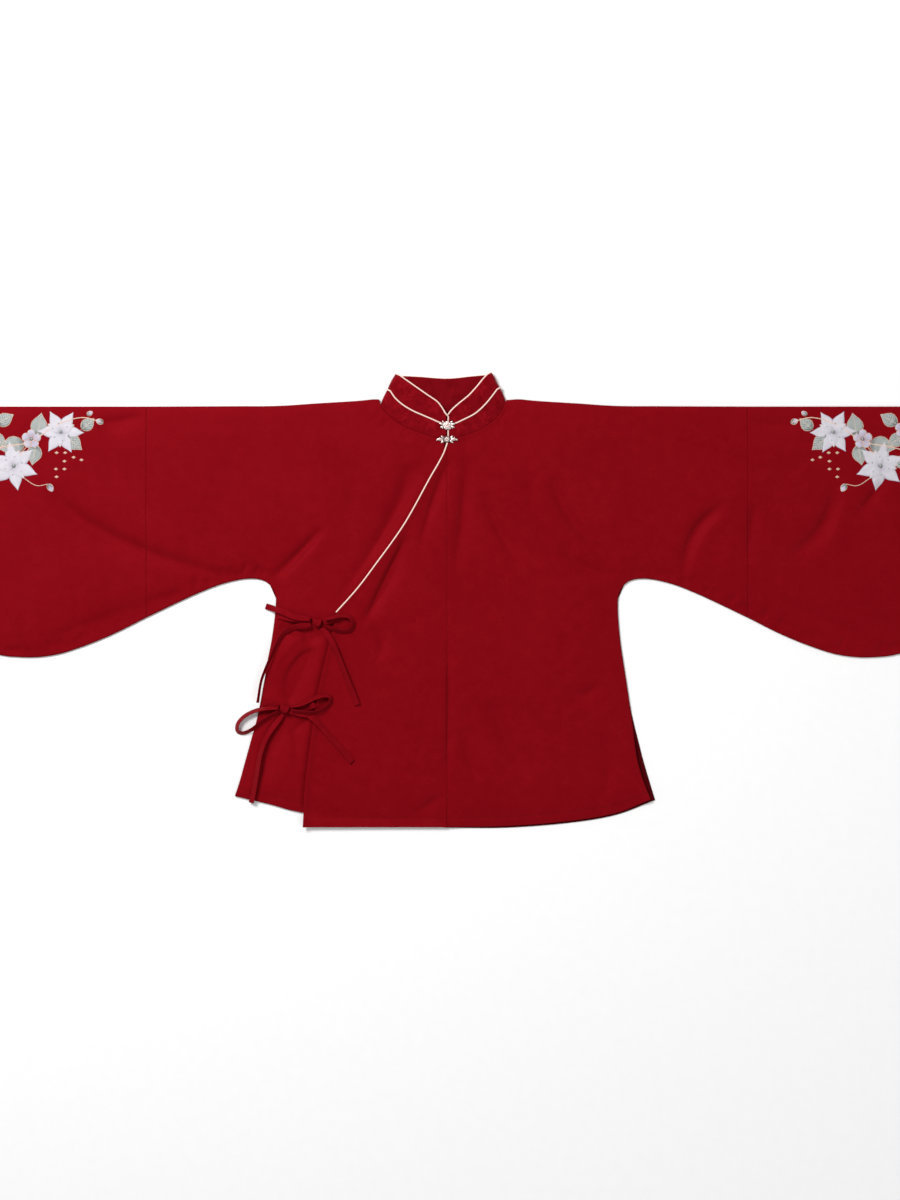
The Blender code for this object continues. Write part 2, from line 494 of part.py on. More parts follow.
def top_of(objects):
    """A function that gives the height of what is already laid at a point, or the table's."""
    bpy.context.view_layer.update()
    graph = bpy.context.evaluated_depsgraph_get()
    trees = [BVHTree.FromObject(o, graph) for o in objects]

    def height(x, y):
        hits = [tree.ray_cast(Vector((x, y, 0.2)), Vector((0, 0, -1)))[0] for tree in trees]
        return max([hit.z for hit in hits if hit] + [0.0])

    return height


def laid(path, support, half_width):
    """The least heights that carry a strip over everything under each stretch of its path."""
    need = []
    for i, (x, y) in enumerate(path):
        ahead = path[min(i + 1, len(path) - 1)] - path[max(i - 1, 0)]
        across = np.array([-ahead[1], ahead[0]]) / max(np.hypot(*ahead), 1e-9)
        spots = [np.array((x, y)) + across * s * half_width + ahead * a * 0.5
                 for s in (-1.05, -0.5, 0, 0.5, 1.05) for a in (-1, -0.5, 0, 0.5, 1)]
        need.append(max(support(*spot) for spot in spots))
    eased = np.array([max(need[max(i - 1, 0):i + 2]) for i in range(len(need))])
    smooth = np.convolve(np.pad(eased, 1, mode="edge"), [0.25, 0.5, 0.25], mode="valid")
    return np.maximum(smooth, need)


def sideways(path):
    """Level unit vectors across a path."""
    ahead = np.gradient(np.asarray(path)[:, :2], axis=0)
    across = np.column_stack([-ahead[:, 1], ahead[:, 0], np.zeros(len(ahead))])
    return across / np.linalg.norm(across, axis=1)[:, None]


def strip(name, path, across, wall=TIE_WALL):
    """A flat tie along a path of 3-D points, its width along the given unit vectors."""
    ahead = np.gradient(path, axis=0)
    up = np.cross(ahead, across)
    up /= np.linalg.norm(up, axis=1)[:, None]
    corners = [path + across * s * TIE_WIDTH / 2 + up * h * wall / 2
               for s, h in ((-1, -1), (1, -1), (1, 1), (-1, 1))]
    mesh = bpy.data.meshes.new(name)
    body = bmesh.new()
    rings = [[body.verts.new(corner[i]) for corner in corners] for i in range(len(path))]
    for first, second in zip(rings[:-1], rings[1:]):
        for k in range(4):
            body.faces.new((first[k], first[(k + 1) % 4], second[(k + 1) % 4], second[k]))
    body.faces.new(rings[0][::-1])
    body.faces.new(rings[-1])
    bmesh.ops.recalc_face_normals(body, faces=body.faces)
    body.to_mesh(mesh)
    body.free()
    return new_object(name, mesh, CRIMSON)


def steps_for(points, step):
    length = np.linalg.norm(np.diff(np.asarray(points), axis=0), axis=1).sum()
    return max(4, int(round(length / step)) + 1)


def flat_tie(name, points, support):
    """A strap or a tail, lying flat on whatever is under it."""
    path = curve_through(points, steps_for(points, TIE_STEP))
    z = laid(path, support, TIE_WIDTH / 2) + TIE_WALL / 2 + TIE_CLEAR
    return strip(name, np.column_stack([path, z]), sideways(path))


def open_loop(name, points, support, bank):
    """A loop of the bow standing partly on its edge, its upper edge leaning in over the loop."""
    path = curve_through(points, steps_for(points, LOOP_STEP))
    tilt = math.radians(bank)
    level = sideways(path)
    middle = path.mean(axis=0)
    inward = np.sign(((middle - path) * level[:, :2]).sum(axis=1).mean())
    half = TIE_WIDTH / 2 * math.cos(tilt) + TIE_WALL / 2 * math.sin(tilt)
    rise = TIE_WIDTH / 2 * math.sin(tilt) + TIE_WALL / 2 * math.cos(tilt)
    z = laid(path, support, half) + rise + TIE_CLEAR
    across = level * math.cos(tilt) + np.array([0, 0, inward]) * math.sin(tilt)
    return strip(name, np.column_stack([path, z]), across)


def pressed_loop(name, points, support):
    """A loop of the bow pressed flat: out along its path, round at its end and back on top of itself."""
    path = curve_through(points, steps_for(points, TIE_STEP))
    z = laid(path, support, TIE_WIDTH / 2) + TIE_WALL / 2 + TIE_CLEAR
    out = np.column_stack([path, z])
    back = out[::-1] + (0, 0, 2 * LOOP_TURN_R)
    across = sideways(path)
    ahead = (path[-1] - path[-2]) / np.linalg.norm(path[-1] - path[-2])
    angles = np.radians([36, 72, 108, 144])
    turn = [out[-1] + (*(ahead * LOOP_TURN_R * math.sin(a)), LOOP_TURN_R * (1 - math.cos(a))) for a in angles]
    return strip(name, np.vstack([out, turn, back]), np.vstack([across, [across[-1]] * 4, across[::-1]]))


def knot(name, centre, size, angle, support):
    """The bow's knot: a rounded lump. p = size / 2 * (cos a cos b, sin a cos b, sin b), each to 0.7."""
    rounded = lambda v: np.sign(v) * np.abs(v)**0.7
    a = np.linspace(0, 2 * math.pi, 12, endpoint=False)
    bands = np.radians([-55, -20, 20, 55])
    rings = [np.column_stack([rounded(np.cos(a)) * rounded(np.cos(b)) * size[0] / 2,
                              rounded(np.sin(a)) * rounded(np.cos(b)) * size[1] / 2,
                              np.full(12, rounded(np.sin(b)) * size[2] / 2)]) for b in bands]
    spots = [np.array(centre) + turned(ring[k, :2], angle) for ring in rings for k in range(12)]
    base = max(support(*spot) for spot in spots) + TIE_CLEAR + size[2] / 2
    rings = [np.column_stack([turned(ring[:, :2], angle) + centre, ring[:, 2] + base]) for ring in rings]
    ends = [(*centre, base - size[2] / 2), (*centre, base + size[2] / 2)]
    return lumped(name, rings, ends, CRIMSON)


def turned(points, degrees):
    c, s = math.cos(math.radians(degrees)), math.sin(math.radians(degrees))
    return np.asarray(points) @ np.array([[c, s], [-s, c]])


def lumped(name, rings, ends, colour, **finish):
    """A closed body through stacked rings, with a point at each end."""
    count = len(rings[0])
    points = np.vstack([*rings, *[np.array(e)[None] for e in ends]])
    faces = [(r * count + k, r * count + (k + 1) % count, (r + 1) * count + (k + 1) % count, (r + 1) * count + k)
             for r in range(len(rings) - 1) for k in range(count)]
    low, high, last = len(points) - 2, len(points) - 1, (len(rings) - 1) * count
    faces += [((k + 1) % count, k, low) for k in range(count)]
    faces += [(last + k, last + (k + 1) % count, high) for k in range(count)]
    mesh = bpy.data.meshes.new(name)
    mesh.from_pydata([tuple(p) for p in points], [], faces)
    mesh.shade_smooth()
    return new_object(name, mesh, colour, **finish)


def stamped(name, outline, centre, base, slope, height):
    """A pressed metal shape on a slope: its outline at the foot, drawn in towards a low dome."""
    outline = np.asarray(outline)
    middle = outline.mean(axis=0)
    rings = [np.column_stack([middle + (outline - middle) * share, np.full(len(outline), h * height)])
             for share, h in ((0.97, 0), (1, 0.30), (0.93, 0.62), (0.60, 0.92))]
    ends = [np.array([[*middle, h * height]]) for h in (0, 1)]
    rings, ends = ([ring + np.column_stack([*np.broadcast_to(np.array(centre)[:, None], (2, len(ring))),
                                            base + slope * ring[:, 1]]) for ring in group] for group in (rings, ends))
    return lumped(name, rings, [tuple(end[0]) for end in ends], SILVER, metallic=1.0, roughness=0.3)


def petals(count, radius, depth, turn=0.0):
    """The outline r = radius (1 - depth + depth |cos(count a / 2)|)."""
    a = np.linspace(0, 2 * math.pi, count * 6, endpoint=False)
    r = radius * (1 - depth + depth * np.abs(np.cos(count * (a - turn) / 2)))
    return np.column_stack([r * np.cos(a), r * np.sin(a)])


def leaf_cluster(points, side):
    """A closed smooth outline through the points, on one side of the clasp's middle."""
    closed = curve_through([*points, points[0]], 25)[:-1]
    return closed * (side, 1) if side > 0 else (closed * (side, 1))[::-1]


def seat(outline, centre, support, slope):
    """The least base height, at the clasp's middle, that carries a shape on the slope."""
    spots = [np.array(p) * share for p in outline for share in (1.0, 0.6, 0.2)]
    return max(support(*(spot + centre)) - slope * spot[1] for spot in spots) + CLASP_CLEAR


# The jacket's own collection, cleared of anything else
for old in list(bpy.data.objects):
    bpy.data.objects.remove(old)
garment = bpy.data.collections.new("wrap_jacket")
bpy.context.scene.collection.children.link(garment)

body_left = body_panel("body_left", 1, COLLAR_BASE_LEFT, 0.0912, SIDE_LEFT_FRONT, SIDE_LEFT,
                       HEM_FRONT_LEFT, HEM_BACK_LEFT, CENTRE_GAP, outer_z)
body_right = body_panel("body_right", -1, COLLAR_BASE_RIGHT, 0.1037, SIDE_RIGHT, SIDE_RIGHT,
                        HEM_FRONT_RIGHT, HEM_BACK_RIGHT, -INNER_EDGE_X, under_z)
sleeve_left = sleeve("sleeve_left", 1, outer_z)
sleeve_right = sleeve("sleeve_right", -1, under_z)
wrap = wrap_panel()

base_line, middle_line, top_line = collar_lines()
collar_lower = collar_band("collar_lower", *held_back(base_line, middle_line, 0, SEAM_GAP))
collar_upper = collar_band("collar_upper", *held_back(middle_line, top_line, SEAM_GAP, PIPING_R + 2 * SEAM_GAP))
on_collar = COLLAR_WALL / 2 + PIPING_R + 0.0001
middle_out = middle_line + outward(middle_line, top_line) * on_collar
cord("piping_collar_middle_right", middle_out[1:15])
cord("piping_collar_middle_left", middle_out[-15:-1])
cord("piping_collar_top", top_line)

# Piping down the front edge of the collar's left side, and along the wrap's slanted edge
edge_up = np.vstack([base_line[-1] * (1 - t) + middle_line[-1] * t for t in np.linspace(0.02, 1, 6)]
                    + [middle_line[-1] * (1 - t) + top_line[-1] * t for t in np.linspace(0.15, 0.70, 4)])
edge_up[:, 0] = base_line[-1, 0] - PIPING_R - SEAM_GAP
cord("piping_collar_front", edge_up)
slant = curve_through(LAP_EDGE[:LAP_CORNER_ROW + 1], 36)
beside = slant - sideways(slant)[:, :2] * (PIPING_R + 2 * SEAM_GAP)
cord("piping_wrap", np.column_stack([beside, under_z(beside[:, 0], beside[:, 1]) + CLOTH / 2 + PIPING_R + 0.0002]))

cloth = [body_left, body_right, sleeve_left, sleeve_right, wrap]
for bow in BOWS:
    done = []
    for name in bow["straps"] + bow["tails"]:
        done.append(flat_tie(name, TIES[name], top_of(cloth + done)))
    for name in bow["loops"]:
        if name in PRESSED:
            done.append(pressed_loop(name, TIES[name], top_of(cloth + done)))
        else:
            done.append(open_loop(name, TIES[name], top_of(cloth + done), LOOP_BANK))
    knot(bow["knot"], bow["centre"], bow["size"], bow["angle"], top_of(cloth))

under_clasps = top_of([o for o in garment.objects if o.name.startswith(("collar", "piping", "body", "wrap"))])
for clasp in CLASPS:
    x, y = clasp["centre"]
    reach = 0.006
    slope = (under_clasps(x + reach, y + reach) - under_clasps(x + reach, y - reach)) / (2 * reach)
    shapes = {clasp["flower"]: petals(*clasp["petals"]),
              clasp["left"]: leaf_cluster(clasp["leaves"], -1), clasp["right"]: leaf_cluster(clasp["leaves"], 1)}
    for name, outline in shapes.items():
        rise = CLASP_HEIGHT * (1.3 if name == clasp["flower"] else 1.0)
        stamped(name, outline, clasp["centre"], seat(outline, clasp["centre"], under_clasps, slope), slope, rise)
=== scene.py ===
"""Looks for a crimson stand-collar wrap jacket with lute-shaped sleeves, laid flat and seen from above.

Metres. +X is the wearer's left, +Y runs from hem to collar, +Z is up. Cloth pieces are grids worked out
from outlines and fold tables, then given a thin wall. Each carries a map named "cloth", in metres.
"""

import math

import bpy
import numpy as np
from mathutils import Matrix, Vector
from mathutils.bvhtree import BVHTree


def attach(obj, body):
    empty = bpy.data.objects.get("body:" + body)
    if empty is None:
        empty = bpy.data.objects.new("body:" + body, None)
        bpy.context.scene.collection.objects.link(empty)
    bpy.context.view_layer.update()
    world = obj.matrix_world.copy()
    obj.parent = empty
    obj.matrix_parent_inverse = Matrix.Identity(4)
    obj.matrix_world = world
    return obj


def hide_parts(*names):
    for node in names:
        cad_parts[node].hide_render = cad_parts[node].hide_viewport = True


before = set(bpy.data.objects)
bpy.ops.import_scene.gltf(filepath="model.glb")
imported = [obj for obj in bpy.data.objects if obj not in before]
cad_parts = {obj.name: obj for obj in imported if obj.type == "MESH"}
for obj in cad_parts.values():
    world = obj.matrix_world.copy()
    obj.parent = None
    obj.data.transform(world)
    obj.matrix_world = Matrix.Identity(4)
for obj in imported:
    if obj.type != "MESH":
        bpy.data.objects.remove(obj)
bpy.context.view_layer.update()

# Sizes shared with the solids
HALF_SPAN = 0.940
SLEEVE_SEAM_X = 0.461
CLOTH = 0.0010
COLLAR_WALL = 0.0015
LINING_WALL = 0.0006
SEAM_GAP = 0.0003
LAP_GAP = 0.0006
LOFT = 0.0062
LOFT_REACH = 0.030
FOLD_GAP = 0.0025
FOLD_REACH = 0.020
FOLD_LIFT = 0.0002
FLAT_RIM = 0.008
BACK_EASE = 0.0004
LAP_REACH = 0.045
CORNER_DROP = 0.020
NECK_LENGTH = 0.115
COLLAR_RISE = {"middle": 0.0100, "top": 0.0140}
PIPING_R = 0.0012
TIE_WIDTH = 0.0104
TIE_WALL = 0.0011
TIE_CLEAR = 0.0003
INNER_EDGE_X = -0.004
CENTRE_GAP = 0.00015
BACK_GAP = 0.00002
HEM_TURN = 0.014
SEAM_STEPS = np.array([0.0, 0.0007, 0.0015, 0.0026, 0.0045])

SHOULDER = [(0.092, 0.3055), (0.112, 0.3065), (0.140, 0.3040), (0.200, 0.3003), (0.260, 0.2965),
            (0.330, 0.2960), (0.461, 0.2955), (0.640, 0.2955), (0.940, 0.2955)]
UNDERARM = [(0.2720, 0.0240), (0.2810, 0.0300), (0.2960, 0.0330), (0.3180, 0.0315), (0.3480, 0.0240),
            (0.3790, 0.0120), (0.4100, -0.0020), (0.4610, -0.0265), (0.5020, -0.0472), (0.5330, -0.0610),
            (0.5630, -0.0725), (0.5940, -0.0822), (0.6250, -0.0871), (0.6550, -0.0873), (0.6860, -0.0840),
            (0.7300, -0.0710), (0.7750, -0.0430), (0.8150, -0.0030), (0.8520, 0.0450), (0.8850, 0.0900),
            (0.9130, 0.1240), (0.9400, 0.1460)]
SIDE_LEFT = [(0.3193, -0.3066), (0.3100, -0.2759), (0.3009, -0.2452), (0.2932, -0.2145), (0.2855, -0.1838),
             (0.2794, -0.1531), (0.2748, -0.1224), (0.2700, -0.0917), (0.2656, -0.0610), (0.2625, -0.0242),
             (0.2622, -0.0010), (0.2650, 0.0130), (0.2720, 0.0240)]
SIDE_LEFT_FRONT = [(0.3125, -0.3056), (0.3008, -0.2759), (0.2920, -0.2452), (0.2872, -0.2145),
                   (0.2846, -0.1900), *SIDE_LEFT[5:]]
SIDE_RIGHT = [(0.3254, -0.3005), (0.3175, -0.2759), (0.3090, -0.2452), (0.3005, -0.2145), (0.2920, -0.1838),
              (0.2855, -0.1531), (0.2800, -0.1224), (0.2750, -0.0917), (0.2690, -0.0610), (0.2640, -0.0242),
              (0.2622, -0.0010), (0.2650, 0.0130), (0.2720, 0.0240)]
HEM_BACK_LEFT = [(0.0, -0.3490), (0.0906, -0.3489), (0.1836, -0.3419), (0.2580, -0.3296), (0.3193, -0.3066)]
HEM_FRONT_LEFT = [(0.0, -0.3480), (0.0906, -0.3464), (0.1836, -0.3390), (0.2580, -0.3268), (0.3125, -0.3056)]
HEM_BACK_RIGHT = [(0.0, -0.3490), (0.1200, -0.3400), (0.2150, -0.3245), (0.2620, -0.3135), (0.3254, -0.2990)]
HEM_FRONT_RIGHT = [(0.0, -0.3400), (0.1200, -0.3350), (0.2210, -0.3258), (0.2720, -0.3130),
                   (0.3254, -0.3005)]
LAP_EDGE = [(-0.0020, 0.2415), (-0.0058, 0.2219), (-0.0121, 0.2086), (-0.0256, 0.1853), (-0.0645, 0.1155),
            (-0.1105, 0.0510), (-0.1374, 0.0157), (-0.1690, -0.0196), (-0.1796, -0.0656), (-0.1980, -0.1424),
            (-0.2057, -0.1960), (-0.2118, -0.2406), (-0.2180, -0.2913), (-0.2210, -0.3480)]
LAP_CORNER_ROW = 7

COLLAR_FRONT = {
    ("base", 1): [(0.0034, 0.2452), (0.0150, 0.2482), (0.0350, 0.2552), (0.0510, 0.2618), (0.0690, 0.2735),
                  (0.0805, 0.2862), (0.0860, 0.2960), (0.0880, 0.3035)],
    ("base", -1): [(-0.0008, 0.2448), (-0.0170, 0.2490), (-0.0410, 0.2568), (-0.0640, 0.2660),
                   (-0.0830, 0.2785), (-0.0930, 0.2872), (-0.0990, 0.2945), (-0.1005, 0.2970)],
    ("middle", 1): [(0.0034, 0.2690), (0.0126, 0.2712), (0.0258, 0.2772), (0.0404, 0.2846), (0.0507, 0.2925),
                    (0.0609, 0.3030), (0.0690, 0.3130), (0.0766, 0.3232)],
    ("middle", -1): [(-0.0008, 0.2690), (-0.0124, 0.2730), (-0.0227, 0.2775), (-0.0375, 0.2838),
                     (-0.0522, 0.2903), (-0.0668, 0.2990), (-0.0786, 0.3092), (-0.0865, 0.3205)],
    ("top", 1): [(0.0034, 0.2866), (0.0062, 0.2902), (0.0120, 0.2960), (0.0200, 0.3028), (0.0332, 0.3136),
                 (0.0448, 0.3261), (0.0551, 0.3387), (0.0620, 0.3460)],
    ("top", -1): [(-0.0010, 0.2836), (-0.0046, 0.2900), (-0.0090, 0.2968), (-0.0153, 0.3043),
                  (-0.0300, 0.3144), (-0.0448, 0.3247), (-0.0594, 0.3350), (-0.0722, 0.3440)],
}
COLLAR_BACK = {
    "base": [(-0.1005, 0.2965), (-0.0500, 0.2900), (0.0, 0.2880), (0.0500, 0.2930), (0.0880, 0.3030)],
    "middle": [(-0.0865, 0.3203), (-0.0420, 0.3130), (0.0, 0.3110), (0.0400, 0.3145), (0.0766, 0.3230)],
    "top": [(-0.0722, 0.3440), (-0.0414, 0.3425), (0.0, 0.3398), (0.0350, 0.3430), (0.0620, 0.3455)],
}
COLLAR_SIDE = {1: (0.884, 0.467), -1: (-0.895, 0.446)}
NECK_END_X = {1: 0.0912, -1: 0.1037}
NECK_SET_BACK = 0.0001
NECK_SIDE_ROOM = 0.0002

# Folds and creases in millimetres: start, bend, end, then the half width and the height, which is below
# nought for a valley. The gains say how much of a table's height is used
FOLD_COLUMNS = ("x0", "y0", "x1", "y1", "x2", "y2", "half_width", "height")
FOLDS = {
    "under": [
        (-609, 177, -577, 96, -322, 33, 12, -2.3), (-571, 192, -475, 106, -302, 58, 22, 1.1),
        (-268, 36, -237, 61, -191, 113, 9, -2.1), (-250, 23, -214, 55, -178, 99, 11, 1.1),
        (-63, 211, -50, 167, -157, 8, 17, -1.9), (-536, 271, -512, 274, -462, 283, 10, -1.1),
        (-258, -38, -232, -54, -183, -56, 9, -2.7), (-200, -76, -250, -108, -240, -163, 11, -2.9),
        (-210, -46, -246, -70, -270, -114, 11, 3.6), (-268, -61, -278, -88, -262, -130, 10, 1.2),
        (-252, -185, -280, -205, -287, -293, 9, -2), (-205, -76, -238, -90, -247, -142, 5, -2.6),
        (-246, -170, -266, -196, -280, -236, 7, -2.4), (-202, -170, -214, -184, -234, -198, 6, -2.2),
        (-250, -26, -226, -44, -196, -48, 7, -1.8), (-256, -168, -226, -180, -226, -268, 12, -1.3),
        (-456, 284, -371, 231, -256, 269, 24, 0.9), (-433, 8, -540, -34, -617, -61, 16, -0.9),
        (-640, 46, -655, 8, -671, -61, 18, 1), (-195, 231, -122, 196, -157, 116, 22, -0.8)],
    "outer": [
        (-61, 104, -92, 28, -129, -36, 9, -2.5), (-74, 100, -112, 34, -143, -19, 9, 1.7),
        (28, 224, 29, 144, 10, 43, 12, -1.7), (8, 219, -20, 178, -43, 71, 10, -1.4),
        (54, 168, 76, 100, 118, 48, 10, -1.6), (162, 192, 162, 138, 269, 40, 11, -1.8),
        (177, 89, 195, 46, 264, 36, 8, -1.3), (428, 149, 362, 116, 364, 36, 11, -2.3),
        (442, 127, 385, 103, 387, 31, 13, 1.2), (474, 148, 465, 128, 462, 58, 9, -1.1),
        (594, 182, 589, 98, 519, 68, 15, -2.1), (671, 192, 657, 159, 628, 135, 10, -1.7),
        (619, 169, 607, 108, 580, 46, 16, 1), (68, -147, 78, -211, 131, -274, 13, -1.6),
        (24, -194, 27, -238, 48, -280, 10, -1.3), (180, -132, 210, -162, 233, -121, 11, -1.2),
        (-1, -61, 8, -151, -6, -310, 6, -1.1), (-7, -297, -29, -314, -55, -331, 9, -1.1),
        (-122, -40, -83, -52, -112, -101, 12, -1.3), (465, 280, 491, 267, 536, 269, 10, -1.1),
        (235, -215, 256, -261, 239, -307, 14, -1), (-149, -92, -84, -157, -95, -268, 20, -0.8),
        (511, 0, 580, -30, 649, -61, 16, -1), (112, 215, 136, 177, 126, 139, 14, -0.8),
        (296, 254, 404, 238, 450, 192, 22, -0.8), (-103, -61, -95, -145, 5, -138, 24, 0.8)],
}
LINING_CREASES = [
    (38, 349, 4, 336, -4, 300, 7, -1.4), (24, 350, 8, 330, 6, 296, 4, 0.9),
    (-38, 352, -22, 340, -18, 316, 6, -0.9), (-6, 346, -16, 332, -6, 312, 5, -0.7),
    (60, 352, 44, 338, 30, 322, 6, -0.8)]
VALLEY_GAIN = 3.5
RIDGE_GAIN = 0.7

CRIMSON = (0.189, 0.0014, 0.0047)


def stacked(*parts):
    """Coordinates side by side, each part spread to the shape of all."""
    return np.stack(np.broadcast_arrays(*parts), axis=-1)


def between(start, end, t):
    """What lies at a share t of the way from start to end."""
    return start * (1 - t) + end * t


def unit(vectors):
    """Each row made one long."""
    return vectors / np.linalg.norm(vectors, axis=1)[:, None]


def lengths_along(path):
    """Length from the start to each point of a path."""
    return np.concatenate([[0], np.cumsum(np.linalg.norm(np.diff(path, axis=0), axis=1))])


def heading(degrees):
    """Unit vectors ahead and to the left, from an angle."""
    ahead = np.array([math.cos(math.radians(degrees)), math.sin(math.radians(degrees))])
    return ahead, np.array([-ahead[1], ahead[0]])


def sideways(path):
    """Level unit vectors to the left of a path."""
    ahead = np.gradient(np.asarray(path)[:, :2], axis=0)
    return unit(np.column_stack([-ahead[:, 1], ahead[:, 0], np.zeros(len(ahead))]))


def curve_through(points, count=None, at=None):
    """Points on the smooth (Catmull-Rom) curve through the given ones, at even or given shares of length."""
    p = np.asarray(points, float)
    padded = np.vstack([2 * p[0] - p[1], p, 2 * p[-1] - p[-2]])
    t = np.linspace(0, 1, 25)[:-1, None]
    spans = []
    for i in range(len(p) - 1):
        a, b, c, d = padded[i:i + 4]
        spans.append(0.5 * (2 * b + (c - a) * t + (2 * a - 5 * b + 4 * c - d) * t**2
                            + (3 * b - a - 3 * c + d) * t**3))
    dense = np.vstack([*spans, p[-1:]])
    length = lengths_along(dense)
    where = length[-1] * (np.linspace(0, 1, count) if at is None else np.asarray(at))
    return stacked(*(np.interp(where, length, column) for column in dense.T))


def read_off(points, value, axis=0):
    """The other coordinate of the curve through the points, where one of them has this value."""
    dense = curve_through(points, 600)
    order = np.argsort(dense[:, axis])
    return np.interp(value, dense[order, axis], dense[order, 1 - axis])


def distance_to(x, y, line):
    """Distance from each (x, y) to a line of straight spans."""
    q = stacked(np.ravel(x), np.ravel(y))
    best = np.full(len(q), 1e9)
    for a, b in zip(line[:-1], line[1:]):
        along = b - a
        t = np.clip((q - a) @ along / max(along @ along, 1e-12), 0, 1)
        best = np.minimum(best, np.linalg.norm(q - (a + t[:, None] * along), axis=1))
    return best.reshape(np.shape(x))


def outline_of(side):
    """The edge of one half as it lies, from the centre hem round the sleeve end to the shoulder."""
    side_line, hem = (SIDE_LEFT_FRONT, HEM_FRONT_LEFT) if side > 0 else (SIDE_RIGHT, HEM_FRONT_RIGHT)
    parts = [curve_through(hem, 12), curve_through(side_line, 24), curve_through(UNDERARM, 60),
             curve_through(SHOULDER, 30)[::-1]]
    return np.vstack(parts) * (side, 1)


OUTLINES = {side: outline_of(side) for side in (1, -1)}
SHOULDER_FOLD = {side: curve_through(SHOULDER, 30) * (side, 1) for side in (1, -1)}


def puckers_of(side):
    """Short valleys that run in from the underarm seam and the neck seam, at uneven steps."""
    rng = np.random.default_rng(7 + side)
    rows = []
    seam = curve_through(UNDERARM, 90) * 1000
    ahead = np.gradient(seam, axis=0)
    inward = sideways(seam)[:, :2]
    for k in range(2, 88):
        if rng.random() < 0.30:
            continue
        start, run = seam[k] + inward[k] * rng.uniform(2, 5), rng.uniform(9, 24)
        lean = ahead[k] / np.linalg.norm(ahead[k]) * rng.uniform(-9, 9)
        end = start + inward[k] * run + lean
        bend_x = side * (start[0] + end[0]) / 2 + lean[1] * 0.3
        rows.append((side * start[0], start[1], bend_x, (start[1] + end[1]) / 2, side * end[0], end[1],
                     rng.uniform(2.6, 5.0), -rng.uniform(0.35, 1.1)))
    neck = curve_through(COLLAR_FRONT["base", side], 22) * 1000
    for k in range(2, 21):
        out = neck[k] - (0, 330)
        out /= np.linalg.norm(out)
        end = neck[k] + out * rng.uniform(10, 26)
        start = neck[k] + out * 2
        rows.append((*start, *((start + end) / 2 + rng.uniform(-2, 2, 2)), *end, rng.uniform(2.4, 4.2),
                     -rng.uniform(0.08, 0.30)))
    return rows


def ridge(x, y, row):
    """A crease: 0.6 exp(-(d / w)^1.6) + 0.4 exp(-(d / 0.45 w)^2) across a bent line, times a taper
    sin(pi s)^0.7 along it. A valley falls more steeply from the upper left, a ridge the other way."""
    fold = dict(zip(FOLD_COLUMNS, np.array(row, float) * 0.001))
    reach = 4 * fold["half_width"]
    t = np.linspace(0, 1, 32)
    line_x = (1 - t)**2 * fold["x0"] + 2 * t * (1 - t) * fold["x1"] + t**2 * fold["x2"]
    line_y = (1 - t)**2 * fold["y0"] + 2 * t * (1 - t) * fold["y1"] + t**2 * fold["y2"]
    near = ((x > line_x.min() - reach) & (x < line_x.max() + reach)
            & (y > line_y.min() - reach) & (y < line_y.max() + reach))
    out = np.zeros(np.shape(x))
    if not near.any():
        return out
    dx, dy = x[near][:, None] - line_x, y[near][:, None] - line_y
    k = np.hypot(dx, dy).argmin(axis=1)
    pick = np.arange(len(k))
    dx, dy = dx[pick, k], dy[pick, k]
    run_x, run_y = np.gradient(line_x)[k], np.gradient(line_y)[k]
    run = np.hypot(run_x, run_y)
    ahead, aside = (dx * run_x + dy * run_y) / run, (run_y * dx - run_x * dy) / run
    at_end = ((k == 0) & (ahead < 0)) | ((k == len(t) - 1) & (ahead > 0))
    gap = np.where(at_end, np.hypot(dx, dy), np.abs(aside))
    lee = -(run_x + run_y) / run * np.sign(aside) * np.sign(fold["height"])
    width = fold["half_width"] * (1.55 + 0.45 * lee)
    share = np.clip(t[k] + ahead / run * (t[1] - t[0]), 0.01, 0.99)
    shape = 0.6 * np.exp(-(gap / width)**1.6) + 0.4 * np.exp(-(gap / (0.45 * width))**2)
    out[near] = fold["height"] * np.sin(np.pi * share)**0.7 * shape
    return out


PUCKERS = {side: puckers_of(side) for side in (1, -1)}


def ripple(x, y):
    """The cloth's own unevenness: four crossed sine waves, 0.08 to 0.26 mm high."""
    waves = ((31, 17, 0.4, 0.26), (-19, 43, 2.1, 0.20), (57, -29, 4.0, 0.14), (83, 71, 1.2, 0.08))
    return 0.001 * sum(h * np.sin(a * x + b * y + p + 1.3 * np.sin(9 * y + 7 * x)) for a, b, p, h in waves)


def front_height(x, y, side):
    """Middle of the front cloth above the table, without its folds."""
    seam = CLOTH / 2 + CLOTH + SEAM_GAP
    from_fold = distance_to(x, y, SHOULDER_FOLD[side])
    at_fold = (FOLD_GAP - CLOTH - SEAM_GAP) * np.exp(-(from_fold / FOLD_REACH)**2)
    inside = 1 - np.exp(-distance_to(x, y, OUTLINES[side]) / LOFT_REACH)
    return seam + at_fold + LOFT * inside


def seam_dip(x, at, depth=0.00031, width=0.0011):
    """The groove of a seam that runs along y: a narrow bell at its x."""
    return -depth * np.exp(-((np.abs(x) - at) / width)**2)


def folded(x, y, side, layer_name):
    """Folds, creases, puckers and ripple of one layer, held down close to the outline."""
    hold = 1 - np.exp(-distance_to(x, y, OUTLINES[side]) / FLAT_RIM)
    fine = sum((ridge(x, y, row) for row in FOLDS[layer_name] + PUCKERS[side]), np.zeros(np.shape(x)))
    folds = VALLEY_GAIN * np.minimum(fine, 0) + RIDGE_GAIN * np.maximum(fine, 0)
    return (folds + ripple(x, y) + FOLD_LIFT) * hold


